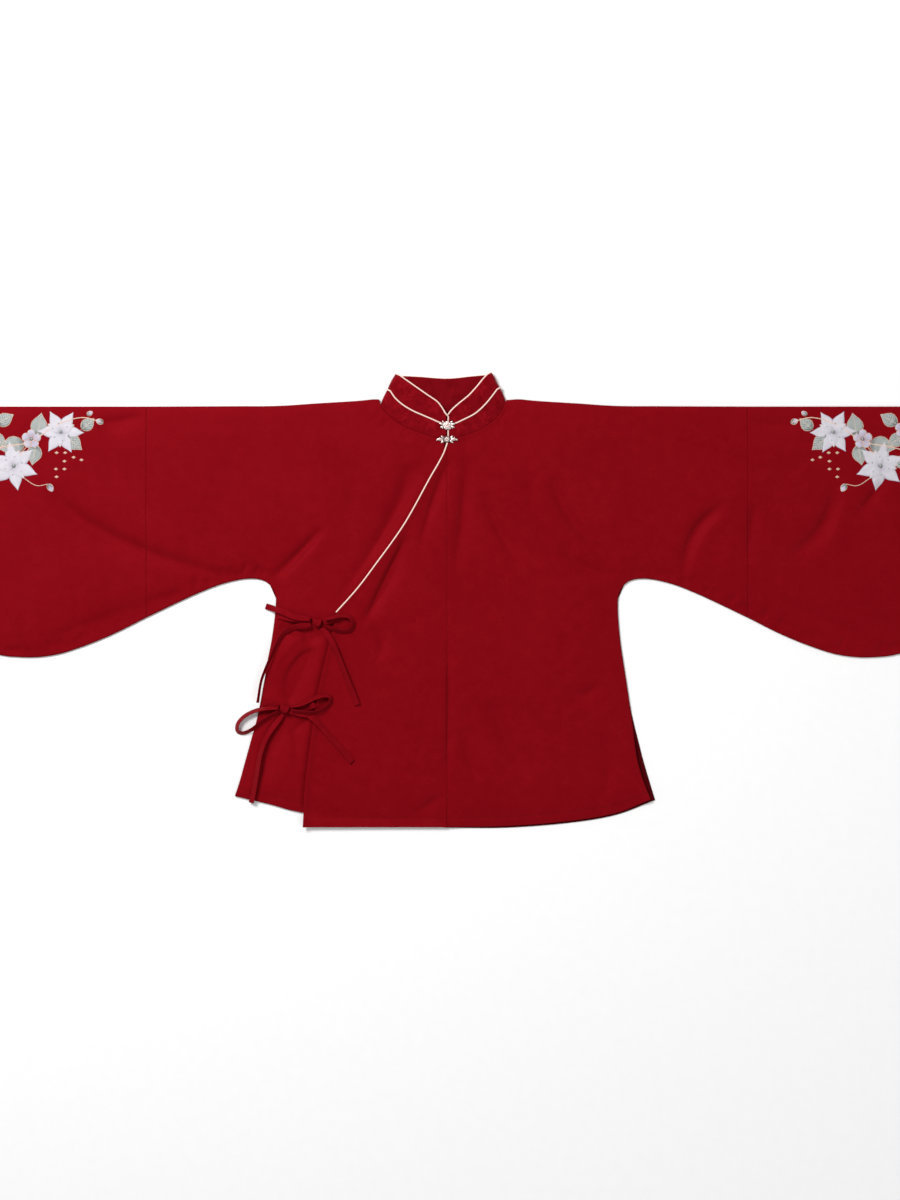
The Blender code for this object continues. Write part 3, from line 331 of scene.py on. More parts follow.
def kept_off_back(z):
    """Keeps the front cloth above the back: z where it is high enough, easing to a floor below that."""
    floor = CLOTH * 1.5 + SEAM_GAP
    return floor + BACK_EASE * np.logaddexp(0, (z - floor) / BACK_EASE)


def over_wrap(x):
    """How far the outer front is lifted by the under front: all of it left of the edge, none past it."""
    t = np.clip((x - INNER_EDGE_X) / LAP_REACH, 0, 1)
    return (CLOTH + LAP_GAP) * (1 - t * t * (3 - 2 * t))


def upright(y):
    """0 where the wrap's free edge slants, easing to 1 where it drops to the hem."""
    return np.clip((LAP_EDGE[LAP_CORNER_ROW][1] - y) / CORNER_DROP, 0, 1)


def under_z(x, y):
    """Middle of the right front and right sleeve: below the wrap they follow its folds."""
    edge = curve_through(LAP_EDGE, 60)
    wrap_x = np.interp(y, edge[::-1, 1], edge[::-1, 0])
    clear = 1 / (1 + np.exp(np.clip((x - wrap_x + 0.016) / 0.004, -60, 60)))
    folds = folded(x, y, -1, "under") * clear + folded(x, y, -1, "outer") * (1 - clear)
    groove = -0.0022 * upright(y) * np.exp(-((x - wrap_x) / 0.0045)**2)
    return kept_off_back(front_height(x, y, -1) + folds + groove) + seam_dip(x, SLEEVE_SEAM_X)


def wrap_z(x, y):
    """Middle of the wrap, which curls up along its free edge."""
    edge = np.abs(x - read_off(LAP_EDGE, y, axis=1))
    curl = (0.0009 + 0.0016 * upright(y)) * np.exp(-(edge / 0.006)**2)
    z = front_height(x, y, -1) + folded(x, y, -1, "outer") + curl
    return kept_off_back(z) + over_wrap(x) + seam_dip(x, 0)


def slit_gape(x, y):
    """The left front stands open along its slit: up to 4 mm at the edge, over the lowest 130 mm."""
    edge = np.abs(x - read_off(SIDE_LEFT_FRONT, y, axis=1))
    down = np.clip((-0.185 - y) / 0.045, 0, 1)
    return 0.0040 * np.exp(-(edge / 0.016)**2) * down * down * (3 - 2 * down)


def outer_z(x, y):
    """Middle of the left front and left sleeve."""
    dips = seam_dip(x, 0) + seam_dip(x, SLEEVE_SEAM_X)
    z = kept_off_back(front_height(x, y, 1) + folded(x, y, 1, "outer"))
    return z + over_wrap(x) + slit_gape(x, y) + dips


def flat_z(x, y):
    """Middle of the back, flat on the table."""
    return np.full(np.shape(x), CLOTH / 2)


LAYER_Z = {1: outer_z, -1: under_z}


# Shader maths

class Value:
    """A shader socket that takes part in Python sums: each sign adds a Math node."""

    def __init__(self, tree, socket):
        self.tree = tree
        self.socket = socket

    def math(self, operation, first, *rest):
        node = self.tree.nodes.new("ShaderNodeMath")
        node.operation = operation
        for slot, item in zip(node.inputs, (first, *rest)):
            plug(self.tree, slot, item)
        return Value(self.tree, node.outputs[0])

    def __add__(self, other):
        return self.math("ADD", self, other)

    def __sub__(self, other):
        return self.math("SUBTRACT", self, other)

    def __rsub__(self, other):
        return self.math("SUBTRACT", other, self)

    def __mul__(self, other):
        return self.math("MULTIPLY", self, other)

    def __pow__(self, other):
        return self.math("POWER", self, other)

    __radd__ = __add__
    __rmul__ = __mul__

    def wave(self):
        """A sine that runs from 0 to 1."""
        return (self.math("SINE", self) + 1) * 0.5

    def cosine(self):
        return self.math("COSINE", self)

    def size(self):
        return self.math("ABSOLUTE", self)

    def larger(self, other):
        return self.math("MAXIMUM", self, other)

    def smaller(self, other):
        return self.math("MINIMUM", self, other)


def plug(tree, slot, item):
    """Links a Value to a socket, or sets a number or colour on it."""
    if isinstance(item, Value):
        tree.links.new(item.socket, slot)
    else:
        slot.default_value = item


class Finish:
    """A material being built: node adds any node but a Math one, and surface sets the main shader."""

    def __init__(self, name):
        self.material = bpy.data.materials.new(name)
        self.material.use_nodes = True
        self.tree = self.material.node_tree
        self.shader = self.tree.nodes["Principled BSDF"]

    def node(self, kind, settings, sockets, *outputs):
        """Adds a node: its settings, then its sockets by name or number. Gives one output, or several."""
        node = self.tree.nodes.new("ShaderNode" + kind)
        for key, value in settings.items():
            setattr(node, key, value)
        for key, item in sockets.items():
            plug(self.tree, node.inputs[key], item)
        values = [Value(self.tree, node.outputs[output]) for output in outputs or (0,)]
        return values if len(values) > 1 else values[0]

    def steps(self, value, low, high):
        """A smooth step from 0 at low to 1 at high."""
        return self.node("MapRange", {"interpolation_type": "SMOOTHSTEP"},
                         {"Value": value, "From Min": low, "From Max": high})

    def blend(self, share, first, second):
        """A colour between two, by a share."""
        return self.node("Mix", {"data_type": "RGBA"}, {0: share, 6: (*first, 1), 7: (*second, 1)}, 2)

    def cloth_map(self, scale=(1, 1, 1)):
        """The piece's own flat coordinates, in metres, scaled."""
        flat = self.node("UVMap", {"uv_map": "cloth"}, {})
        return self.node("Mapping", {}, {"Scale": scale, "Vector": flat})

    def place(self):
        """Object coordinates."""
        return self.node("TexCoord", {}, {}, 3)

    def noise(self, vector, scale, detail=2.0, roughness=0.5):
        return self.node("TexNoise", {}, {"Vector": vector, "Scale": scale, "Detail": detail,
                                          "Roughness": roughness})

    def cells(self, flat, spacing, randomness, *outputs):
        """A flat Voronoi pattern with cells about one spacing across."""
        return self.node("TexVoronoi", {"voronoi_dimensions": "2D"},
                         {"Scale": 1 / spacing, "Randomness": randomness, "Vector": flat}, *outputs)

    def parts(self, vector):
        """The x, y and z of a vector."""
        return self.node("SeparateXYZ", {}, {0: vector}, 0, 1, 2)

    def bumps(self, *heights):
        """Bump nodes in a chain, each from (height, strength, distance)."""
        before = {}
        for height, strength, distance in heights:
            before = {"Normal": self.node("Bump", {}, {"Strength": strength, "Distance": distance,
                                                       "Height": height, **before})}
        return before["Normal"]

    def surface(self, **sockets):
        for key, item in sockets.items():
            plug(self.tree, self.shader.inputs[key.replace("_", " ")], item)
        return self.material


def blossoms(finish, flat, spacing, radius, petals):
    """Woven flowers: in each Voronoi cell, 1 inside r = radius (0.66 + 0.34 cos(petals angle + phase)),
    with an eye left open in the middle. The phase and size come from the cell's own random colour."""
    colour, middle = finish.cells(flat, spacing, 0.55, "Color", "Position")
    phase, size, _ = finish.parts(colour)
    away = finish.node("VectorMath", {"operation": "SUBTRACT"}, {0: flat, 1: middle})
    x, y, _ = finish.parts(away)
    r = (x * x + y * y)**0.5
    angle = x.math("ARCTAN2", y, x)
    edge = (0.66 + 0.34 * (angle * petals + phase * math.tau).cosine()) * (radius * (0.8 + 0.4 * size))
    inside = finish.steps(edge - r, -0.0005, 0.0009)
    rim = 1 - finish.steps((edge - r - 0.0024).size(), 0.0003, 0.0010)
    eye = finish.steps(r, radius * 0.15, radius * 0.19)
    return (inside * eye - rim * inside * 0.7).larger(0.0)


def clouds(finish, flat, spacing):
    """Woven scrolls between the flowers: rings |r - a|, kept where a slow noise allows them."""
    d = finish.cells(flat, spacing, 0.8, "Distance") * spacing
    rings = 1 - finish.steps((d - spacing * 0.30).size(), 0.0006, 0.0014)
    inner = 1 - finish.steps((d - spacing * 0.17).size(), 0.0005, 0.0012)
    allowed = finish.steps(finish.noise(flat, 46.0, 1.0), 0.50, 0.58)
    return rings.larger(inner) * allowed


def satin(name, colour, figure, dark=0.80, patches=0.42, patch_size=0.10):
    """Silk-like satin: fine threads, soft mottling, and flowers and scrolls woven in the same colour."""
    cloth = Finish(name)
    flat = cloth.cloth_map()
    threads = cloth.noise(cloth.cloth_map((1400, 190, 1)), 1.0, 2.0, 0.6)
    slubs = cloth.noise(cloth.cloth_map((90, 520, 1)), 1.0, 3.0, 0.6)
    mottle = cloth.noise(flat, 60.0, 3.0, 0.55)
    broad = cloth.noise(flat, 1 / patch_size, 2.0, 0.5)
    woven = (blossoms(cloth, flat, 0.058, 0.0125, 5) + clouds(cloth, flat, 0.040) * 0.8).smaller(1.0)
    shade = (0.50 + (mottle - 0.5) * 0.50 + (broad - 0.5) * patches + (threads - 0.5) * 0.40
             + (slubs - 0.5) * 0.30 + woven * figure)
    deep = tuple(c * dark for c in colour)
    light = tuple(min(1.0, c * (2 - dark) + 0.002) for c in colour)
    rough = 0.50 + (mottle - 0.5) * 0.12 - woven * 0.10 * (figure / 0.3)
    return cloth.surface(
        Base_Color=cloth.blend(shade.smaller(1.0).larger(0.0), deep, light),
        Roughness=rough,
        Specular_IOR_Level=0.17,
        Specular_Tint=(1.0, 0.028, 0.056, 1),
        Sheen_Weight=0.03,
        Sheen_Roughness=0.45,
        Sheen_Tint=(0.60, 0.010, 0.020, 1),
        Normal=cloth.bumps((threads, 0.18, 0.00025), (slubs, 0.20, 0.0004), (mottle, 0.12, 0.0008),
                           (woven, 0.25 * figure / 0.3, 0.00020)))


def piping_silk():
    """Cream and gold satin cut on the slant: fine diagonal threads round the cord."""
    silk = Finish("gold_cord")
    flat = silk.cloth_map()
    along, around, _ = silk.parts(flat)
    slant = (along * 1900 + around * 900).wave()
    soft = silk.noise(flat, 260.0, 3.0)
    return silk.surface(
        Base_Color=silk.blend(slant * 0.18 + soft * 0.82, (0.82, 0.51, 0.42), (1.0, 0.78, 0.70)),
        Roughness=0.34 + soft * 0.16,
        Sheen_Weight=0.15,
        Sheen_Roughness=0.4,
        Normal=silk.bumps((slant, 0.20, 0.00018), (soft, 0.30, 0.0005)))


def silver():
    """Cast silver-coloured metal: bright on the raised parts, darker in the hollows, lightly scratched."""
    metal = Finish("silver_metal")
    raised = metal.node("Attribute", {"attribute_name": "raised"}, {}, 2)
    grain = metal.noise(metal.place(), 900.0, 4.0, 0.6)
    aged = metal.noise(metal.place(), 210.0, 3.0, 0.6)
    lift = metal.steps(raised + (grain - 0.5) * 0.5 + (aged - 0.5) * 0.3, 0.34, 0.82)
    return metal.surface(
        Base_Color=metal.blend(lift, (0.030, 0.017, 0.015), (0.94, 0.76, 0.72)),
        Metallic=1.0,
        Roughness=0.50 - raised * 0.22 + aged * 0.10,
        Normal=metal.bumps((grain, 0.25, 0.00012), (aged, 0.2, 0.0003)))


def silk_thread(name, dark, light, roughness=0.36, gloss=0.5, sheen=0.2, strands=0.0):
    """Satin stitch: fine parallel threads along each petal or leaf, bunched into strands on the leaves."""
    thread = Finish(name)
    flat = thread.cloth_map()
    across, along, _ = thread.parts(flat)
    waver = thread.noise(flat, 420.0)
    lines = (across * 9500 + waver * 5).wave()
    bunch = (across * 2100 + waver * 7).wave()
    patch = thread.noise(flat, 130.0)
    heart = thread.steps(along, 0.0010, 0.0120)
    shade = lines * 0.40 + patch * 0.35 + heart * 0.45 - 0.10 + (bunch - 0.6) * strands
    return thread.surface(
        Base_Color=thread.blend(shade.smaller(1.0), dark, light),
        Roughness=roughness + waver * 0.15,
        Specular_IOR_Level=gloss,
        Sheen_Weight=sheen,
        Sheen_Roughness=0.35,
        Normal=thread.bumps((lines, 0.5, 0.0002), (patch, 0.2, 0.0004)))


RED_SATIN = satin("red_satin", CRIMSON, 0.12)
RED_COLLAR = satin("red_collar_cloth", (0.176, 0.0014, 0.0049), 0.45, 0.68, 1.1, 0.012)
RED_LINING = satin("red_lining", (0.160, 0.0014, 0.0045), 0.10, 0.72, 0.9, 0.018)
# The cloth's wrong side, on the inner faces of the folded pieces: its colour is about a third of the right
# side's, painted shade that stands in for the shadow inside the slits
WRONG_SIDE_PAINTED_SHADE = satin("red_wrong_side_painted_shade", (0.058, 0.0008, 0.0020), 0.06)
RED_TIE = satin("red_tie_cloth", (0.180, 0.0015, 0.0052), 0.06)
GOLD_CORD = piping_silk()
SILVER = silver()
PETAL_SILK = silk_thread("silk_white", (0.40, 0.37, 0.44), (0.68, 0.65, 0.70))
BUD_SILK = silk_thread("silk_lilac", (0.34, 0.30, 0.41), (0.60, 0.55, 0.65))
LEAF_SILK = silk_thread("silk_grey_green", (0.062, 0.078, 0.074), (0.50, 0.53, 0.51), strands=0.75)
GOLD_THREAD = silk_thread("thread_gold", (0.52, 0.31, 0.21), (0.88, 0.62, 0.49), roughness=0.28)
RED_THREAD = silk_thread("thread_red", (0.135, 0.0012, 0.0035), (0.185, 0.0018, 0.0050),
                         roughness=0.6, gloss=0.15, sheen=0.0)


# Mesh helpers

def quads(index):
    """Faces between neighbouring rows and columns of an index grid; a -1 marks a missing point."""
    four = np.stack([index[:-1, :-1], index[:-1, 1:], index[1:, 1:], index[1:, :-1]], axis=-1).reshape(-1, 4)
    return four[four.min(axis=1) >= 0]


def closed_tube(rings):
    """Points and quads of a body through rings (stations by points round it by 3), with flat ends.
    Point k of a ring lies over point n - 1 - k, so each end is closed by quads between the two."""
    stations, around = rings.shape[:2]
    index = np.arange(stations * around).reshape(stations, around)
    index = np.concatenate([index, index[:, :1]], axis=1)
    k = np.arange(around // 2 - 1)
    cap = np.stack([k, k + 1, around - 2 - k, around - 1 - k], axis=1)
    faces = np.vstack([quads(index), cap[:, ::-1], cap + (stations - 1) * around])
    return rings.reshape(-1, 3), faces


def section(count, corner=1.0, crown=1.0):
    """Points round a unit section: x = sgn(cos a)|cos a|^corner, y = sgn(sin a)|sin a|^crown."""
    a = 2 * np.pi * (np.arange(count) + 0.5) / count
    return np.sign(np.cos(a)) * np.abs(np.cos(a))**corner, np.sign(np.sin(a)) * np.abs(np.sin(a))**crown


def make_piece(name, points, faces, materials, flat):
    """Puts points and quads into a mesh object that rides on the jacket."""
    mesh = bpy.data.meshes.new(name)
    points = np.asarray(points, float)
    mesh.vertices.add(len(points))
    mesh.vertices.foreach_set("co", points.ravel())
    mesh.loops.add(faces.size)
    mesh.loops.foreach_set("vertex_index", faces.astype(np.int32).ravel())
    mesh.polygons.add(len(faces))
    mesh.polygons.foreach_set("loop_start", np.arange(0, faces.size, faces.shape[1], dtype=np.int32))
    mesh.polygons.foreach_set("loop_total", np.full(len(faces), faces.shape[1], dtype=np.int32))
    layer = mesh.uv_layers.new(name="cloth")
    layer.data.foreach_set("uv", np.asarray(flat, float)[faces.ravel()].ravel())
    for material in materials:
        mesh.materials.append(material)
    mesh.update(calc_edges=True)
    mesh.validate()
    mesh.shade_smooth()
    obj = bpy.data.objects.new(name, mesh)
    bpy.context.scene.collection.objects.link(obj)
    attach(obj, "root")
    return obj


def joined(name, bodies, material):
    """One piece from many (rings, flat) bodies; flat holds the map of each ring's points."""
    points, faces, flats, start = [], [], [], 0
    for rings, flat in bodies:
        body, around = closed_tube(rings)
        points.append(body)
        faces.append(around + start)
        flats.append(np.broadcast_to(flat, (*rings.shape[:2], 2)).reshape(-1, 2))
        start += len(body)
    return make_piece(name, np.vstack(points), np.vstack(faces), [material], np.vstack(flats))


def wall(obj, thickness):
    """Gives a sheet its thickness; its second material, if any, is for the inner side."""
    solid = obj.modifiers.new("wall", "SOLIDIFY")
    solid.material_offset = len(obj.data.materials) - 1
    solid.thickness = thickness
    solid.offset = 0
    solid.use_even_offset = True
    return obj


def grid_sheet(name, points, flat, material, thickness):
    """A sheet from a grid of points, rows by columns by 3, and its flat map."""
    index = np.arange(points[..., 0].size).reshape(points.shape[:2])
    sheet = make_piece(name, points.reshape(-1, 3), quads(index), [material], flat.reshape(-1, 2))
    return wall(sheet, thickness)


def rows_between(top, bottom, shares, height):
    """Rows of points from the top line to the bottom line, at the given shares, as rows by columns by 3."""
    t = np.asarray(shares)[:, None, None]
    flat = between(top, bottom, t)
    return np.dstack([flat, height(flat[..., 0], flat[..., 1])])


def eased_shares(count, length, edge_steps):
    """Shares from 0 to 1, with close steps at the far end at the given distances from it."""
    tail = 1 - np.asarray(edge_steps)[::-1] / length
    return np.concatenate([np.linspace(0, tail[0], count - len(tail) + 1)[:-1], tail])


def folded_sheet(name, front, back, first_folded, material, arc_steps=10):
    """Front and back layers in one cloth, joined round the shoulder fold from column first_folded on.
    The fold is a half circle: p(t) = middle + radius (0, sin t, -cos t)."""
    turn = np.pi * np.arange(1, arc_steps)[:, None] / arc_steps
    radius = (front[0, :, 2] - back[0, :, 2]) / 2
    middle = (front[0] + back[0]) / 2
    arc = stacked(middle[:, 0], middle[:, 1] + radius * np.sin(turn), middle[:, 2] - radius * np.cos(turn))
    arc[:, :first_folded] = np.nan
    sheet = np.concatenate([back[::-1], arc, front], axis=0)
    there = ~np.isnan(sheet[..., 0])
    index = np.where(there, np.cumsum(there.ravel()).reshape(there.shape) - 1, -1)
    turned_y = np.concatenate([2 * back[0, :, 1] - back[::-1, :, 1],
                               np.broadcast_to(front[0, :, 1], arc.shape[:2]), front[..., 1]], axis=0)
    flat = stacked(sheet[..., 0], turned_y)[there]
    faces = quads(index)
    if (front[0, 1, 0] - front[0, 0, 0]) > 0:
        faces = faces[:, ::-1]
    # The inner faces get the darkened wrong side, which is painted shade
    obj = make_piece(name, sheet[there], faces, [material, WRONG_SIDE_PAINTED_SHADE], flat)
    return wall(obj, CLOTH)


NECK_COLUMNS = 42
CHEST_COLUMNS = 66
ARM_COLUMNS = 64
SLEEVE_COLUMNS = 160
FRONT_ROWS = (100, 120)
BACK_ROWS = (14, 22)
SLEEVE_ROWS = {"front": 120, "back": 14}
HEM_ROWS_FROM = 0.0240
HEM_STEPS = np.array([0.0, 0.0012, 0.0035, 0.0080, HEM_TURN - 0.0012, HEM_TURN, HEM_TURN + 0.0012, 0.0185])


def neck_edge(ring, end_x, inner_x, side):
    """The body's neck edge: the collar's lower line moved out, more so towards the side, where the
    collar turns, then on to the shoulder fold."""
    line = curve_through(ring, 14)
    out = sideways(line)[:, :2]
    out *= np.sign((out * (line - (0.0, 0.32))).sum(axis=1))[:, None]
    line = line + out * (NECK_SET_BACK + NECK_SIDE_ROOM * np.linspace(0, 1, 14)[:, None]**2)
    end = (side * end_x, float(np.interp(end_x, *np.array(SHOULDER).T)))
    close = SEAM_STEPS / NECK_LENGTH
    shares = np.concatenate([close, np.linspace(close[-1], 1, NECK_COLUMNS - 3)[1:]])
    edge = curve_through([*line, end], at=shares)
    edge[:5, 0] = side * (inner_x + SEAM_STEPS)
    return edge


def turned_hem(up):
    """How much higher the cloth is over its doubled hem, with a groove at the stitches, at a distance up."""
    past = up - HEM_TURN
    return 0.00045 / (1 + np.exp(np.minimum(past / 0.0006, 60))) - 0.0004 * np.exp(-(past / 0.0012)**2)


def body_layer(side, neck, side_line, hem, rows, inner_x, height):
    """One layer of a body panel: columns from centre seam to sleeve seam, then rows below the armpit,
    narrowed to the side line, with close rows at the hem. Rows are counted above and below the armpit."""
    armpit = UNDERARM[0]
    fold = curve_through(SHOULDER, 300)
    to_armpit = np.linspace(abs(neck[-1][0]), armpit[0], CHEST_COLUMNS + 1)[1:]
    seam = SLEEVE_SEAM_X - CENTRE_GAP
    to_seam = np.concatenate([np.linspace(armpit[0], seam - SEAM_STEPS[-1], ARM_COLUMNS - 3)[1:],
                              seam - SEAM_STEPS[-2::-1]])
    fold_x = np.concatenate([to_armpit, to_seam])
    top = np.vstack([neck * (side, 1), stacked(fold_x, np.interp(fold_x, *fold.T))])
    across = np.linspace(inner_x + SEAM_STEPS[-1], armpit[0], NECK_COLUMNS + CHEST_COLUMNS - 3)[1:]
    level_x = np.concatenate([inner_x + SEAM_STEPS, across])
    level = stacked(level_x, armpit[1])
    under = curve_through([p for p in UNDERARM if p[0] <= SLEEVE_SEAM_X], 300)
    share = (to_seam - armpit[0]) / (seam - armpit[0])
    under_x = armpit[0] + share**1.15 * (seam - armpit[0])
    bottom = np.vstack([level, stacked(under_x, np.interp(under_x, *under.T))])
    upper = rows_between(top * (side, 1), bottom * (side, 1), np.linspace(0, 1, rows[0]), height)
    drop = np.linspace(0, 1, rows[1] - len(HEM_STEPS) + 1)[1:, None]
    hem_y = read_off(hem, inner_x + (level_x - inner_x) * (hem[-1][0] - inner_x) / (armpit[0] - inner_x))
    body_y = armpit[1] + (hem_y + HEM_ROWS_FROM - armpit[1]) * drop
    y = np.vstack([body_y, hem_y + HEM_STEPS[::-1, None]])
    level_share = (armpit[1] - y) / (armpit[1] - hem_y)
    side_x = read_off(side_line, armpit[1] + (hem[-1][1] - armpit[1]) * level_share, axis=1)
    x = inner_x + (level_x - inner_x) * (side_x - inner_x) / (armpit[0] - inner_x)
    z = height(x * side, y)
    if height is not flat_z:
        z = z + turned_hem(y - read_off(hem, np.abs(x)))
    lower = np.dstack([x * side, y, z])
    missing = np.full((lower.shape[0], ARM_COLUMNS, 3), np.nan)
    return np.vstack([upper, np.concatenate([lower, missing], axis=1)])


def body_panel(name, side, side_front, side_back, hem_front, hem_back, inner_x, height):
    """A body panel cut in one piece over the shoulder, front and back, with the root of its sleeve."""
    ring = [p for p in COLLAR_BACK["base"] if p[0] * side >= 0]
    back_neck = neck_edge(ring if side > 0 else ring[::-1], NECK_END_X[side], BACK_GAP, side)
    front_neck = neck_edge(COLLAR_FRONT["base", side], NECK_END_X[side], inner_x, side)
    front = body_layer(side, front_neck, side_front, hem_front, FRONT_ROWS, inner_x, height)
    back = body_layer(side, back_neck, side_back, hem_back, BACK_ROWS, BACK_GAP, flat_z)
    return folded_sheet(name, front, back, NECK_COLUMNS, RED_SATIN)


def sleeve(name, side, height):
    """The sleeve joined on at its seam: one piece folded at the top, open at the cuff."""
    start = SLEEVE_SEAM_X + CENTRE_GAP
    past_seam = np.linspace(start + SEAM_STEPS[-1], HALF_SPAN, SLEEVE_COLUMNS)[1:]
    x = np.concatenate([start + SEAM_STEPS, past_seam])
    fold, under = curve_through(SHOULDER, 300), curve_through(UNDERARM, 600)
    top = stacked(x * side, np.interp(x, *fold.T))
    bottom = stacked(x * side, np.interp(x, *under.T))
    front = rows_between(top, bottom, np.linspace(0, 1, SLEEVE_ROWS["front"]), height)
    back = rows_between(top, bottom, np.linspace(0, 1, SLEEVE_ROWS["back"]), flat_z)
    return folded_sheet(name, front, back, 0, RED_SATIN)


def wrap_panel():
    """The wrap sewn to the left front at the centre seam: its free edge slants to the side, then drops."""
    slanted = curve_through(LAP_EDGE[:LAP_CORNER_ROW + 1], 100)
    length = LAP_EDGE[LAP_CORNER_ROW][1] - LAP_EDGE[-1][1]
    down = curve_through(LAP_EDGE[LAP_CORNER_ROW:], at=eased_shares(100, length, HEM_STEPS))[1:]
    free = np.vstack([slanted, down])
    seam = stacked(-CENTRE_GAP, free[:, 1])
    t = np.concatenate([[0.0, 0.008, 0.020, 0.040], np.linspace(0.04, 1, 72)[1:-3],
                        [0.985, 0.992, 0.997, 1.0]])[None, :, None]
    flat = between(free[:, None], seam[:, None], t)
    x, y = flat[..., 0], flat[..., 1]
    points = np.dstack([flat, wrap_z(x, y) + turned_hem(y - LAP_EDGE[-1][1])])
    return grid_sheet("wrap_cloth", points, flat, RED_SATIN, CLOTH)


def collar_line(level, front_z, z_back):
    """One line round the collar, from the centre front over the right side, the back and the left side.
    Each folded side is a half ellipse: p(t) = middle + (front - back) / 2 cos t + facing radius sin t."""
    fronts = {side: curve_through(COLLAR_FRONT[level, side], 60) for side in (1, -1)}
    back = curve_through(COLLAR_BACK[level], 70)
    line = {side: np.column_stack([front, front_z(*front.T, side)]) for side, front in fronts.items()}
    flat_back = np.column_stack([back, np.full(len(back), z_back)])

    def side_turn(start, end, facing):
        turn = (math.pi * np.arange(1, 12) / 12)[:, None]
        out = np.array([*facing, 0.0]) * abs(start[2] - end[2]) / 2
        return (start + end) / 2 + (start - end) / 2 * np.cos(turn) + out * np.sin(turn)

    turn_right = side_turn(line[-1][-1], flat_back[0], COLLAR_SIDE[-1])
    turn_left = side_turn(flat_back[-1], line[1][-1], COLLAR_SIDE[1])
    return np.vstack([line[-1], turn_right, flat_back, turn_left, line[1][::-1]])


def outward(lower, upper):
    """The way a band faces at each point of its line: away from the neck."""
    normal = unit(np.cross(np.gradient(lower, axis=0), upper - lower))
    return normal * (1 if normal[0, 2] > 0 else -1)


def collar_band(name, lower, upper, near, far, puff, seed):
    """The strip between two lines, a little full and wrinkled:
    p = low (1 - t) + high t + normal (puff + wrinkles) sin(pi t)^0.8."""
    way = unit(upper - lower)
    face = outward(lower, upper)

    def slant(line):
        ahead = unit(np.gradient(line, axis=0))
        return np.maximum(np.linalg.norm(np.cross(way, ahead), axis=1), 0.4)[:, None]

    low, high = lower + way * near / slant(lower), upper - way * far / slant(upper)
    t = np.linspace(0, 1, 17)[:, None, None]
    length = lengths_along(lower)
    s = length[None, :, None]
    rng = np.random.default_rng(seed)
    wrinkles = np.zeros((17, len(lower), 1))
    for place in np.arange(0.006, length[-1], 0.0085):
        spot, lean = place + rng.uniform(-0.004, 0.004), rng.uniform(-0.016, 0.016)
        width, depth = rng.uniform(0.0018, 0.0048), rng.uniform(-0.0012, 0.0007)
        middle, reach = rng.uniform(0.2, 0.8), rng.uniform(0.22, 0.55)
        wrinkles += depth * np.exp(-((s - spot - lean * t) / width)**2) * np.exp(-((t - middle) / reach)**2)
    swell = (puff + wrinkles) * np.sin(np.pi * np.clip(t, 0.001, 0.999))**0.8
    points = between(low, high, t) + face * swell
    points[..., 2] = np.maximum(points[..., 2], COLLAR_WALL / 2)
    width = np.linalg.norm(upper - lower, axis=1)
    flat = stacked(length, t[..., 0] * width)
    return grid_sheet(name, points, flat, RED_COLLAR, COLLAR_WALL)


def frames_along(path):
    """Unit vectors to the side and up along a path. The side is level at the start and is then carried
    along without twisting: each step takes out its part along the new direction."""
    ahead = unit(np.gradient(path, axis=0))
    side = np.empty_like(ahead)
    last = np.cross((0.0, 0.0, 1.0), ahead[0])
    for i, way in enumerate(ahead):
        last = last - way * (last @ way)
        last = last / np.linalg.norm(last)
        side[i] = last
    return side, np.cross(ahead, side)


def swept(path, across, up, width, height, around):
    """Rings p = path + across width x + up height y for the section's points x, y."""
    x, y = around

    def at_points(size):
        return size if np.ndim(size) == 2 else np.broadcast_to(size, len(path))[:, None]

    return (path[:, None] + across[:, None] * (at_points(width) * x)[..., None]
            + up[:, None] * (at_points(height) * y)[..., None])


def piping(name, path, radius, step=0.0012, twist=0.0034, depth=0.012):
    """A covered cord, r = radius (1 + depth cos(4 a - 2 pi s / twist)), drawn in at both ends."""
    path = curve_through(path, max(6, int(lengths_along(path)[-1] / step)))
    s = lengths_along(path)[:, None]
    side, up = frames_along(path)
    x, y = section(14)
    r = radius * (1 + depth * np.cos(4 * np.arctan2(y, x) - 2 * np.pi * s / twist))
    end = np.minimum(s, s[-1] - s) / radius
    r = r * np.sqrt(np.clip(0.25 + end * 1.2, 0, 1))
    flat = stacked(s, radius * x)
    return joined(name, [(swept(path, side, up, r, r, (x, y)), flat)], GOLD_CORD)


def dress(obj, node):
    """Hides the model's own part for the node that the piece takes the place of."""
    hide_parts(node)


# Cloth panels
body_left = body_panel("body_left_cloth", 1, SIDE_LEFT_FRONT, SIDE_LEFT, HEM_FRONT_LEFT, HEM_BACK_LEFT,
                       CENTRE_GAP, outer_z)
body_right = body_panel("body_right_cloth", -1, SIDE_RIGHT, SIDE_RIGHT, HEM_FRONT_RIGHT, HEM_BACK_RIGHT,
                        -INNER_EDGE_X, under_z)
sleeve_left = sleeve("sleeve_left_cloth", 1, outer_z)
sleeve_right = sleeve("sleeve_right_cloth", -1, under_z)
wrap = wrap_panel()
for obj, node in ((body_left, "body_left"), (body_right, "body_right"), (sleeve_left, "sleeve_left"),
                  (sleeve_right, "sleeve_right"), (wrap, "wrap")):
    dress(obj, node)

# Collar
base_line = collar_line("base", lambda x, y, side: LAYER_Z[side](x, y - 0.0008) - 0.0003, COLLAR_WALL / 2)
middle_line = collar_line("middle", lambda x, y, side: x * 0 + COLLAR_RISE["middle"], COLLAR_WALL / 2)
top_line = collar_line("top", lambda x, y, side: x * 0 + COLLAR_RISE["top"], PIPING_R)
collar_lower = collar_band("collar_lower_cloth", base_line, middle_line, 0, 0, 0.0009, 4)
collar_upper = collar_band("collar_upper_cloth", middle_line, top_line, 0, PIPING_R * 0.6, 0.0009, 21)
dress(collar_lower, "collar_lower")
dress(collar_upper, "collar_upper")

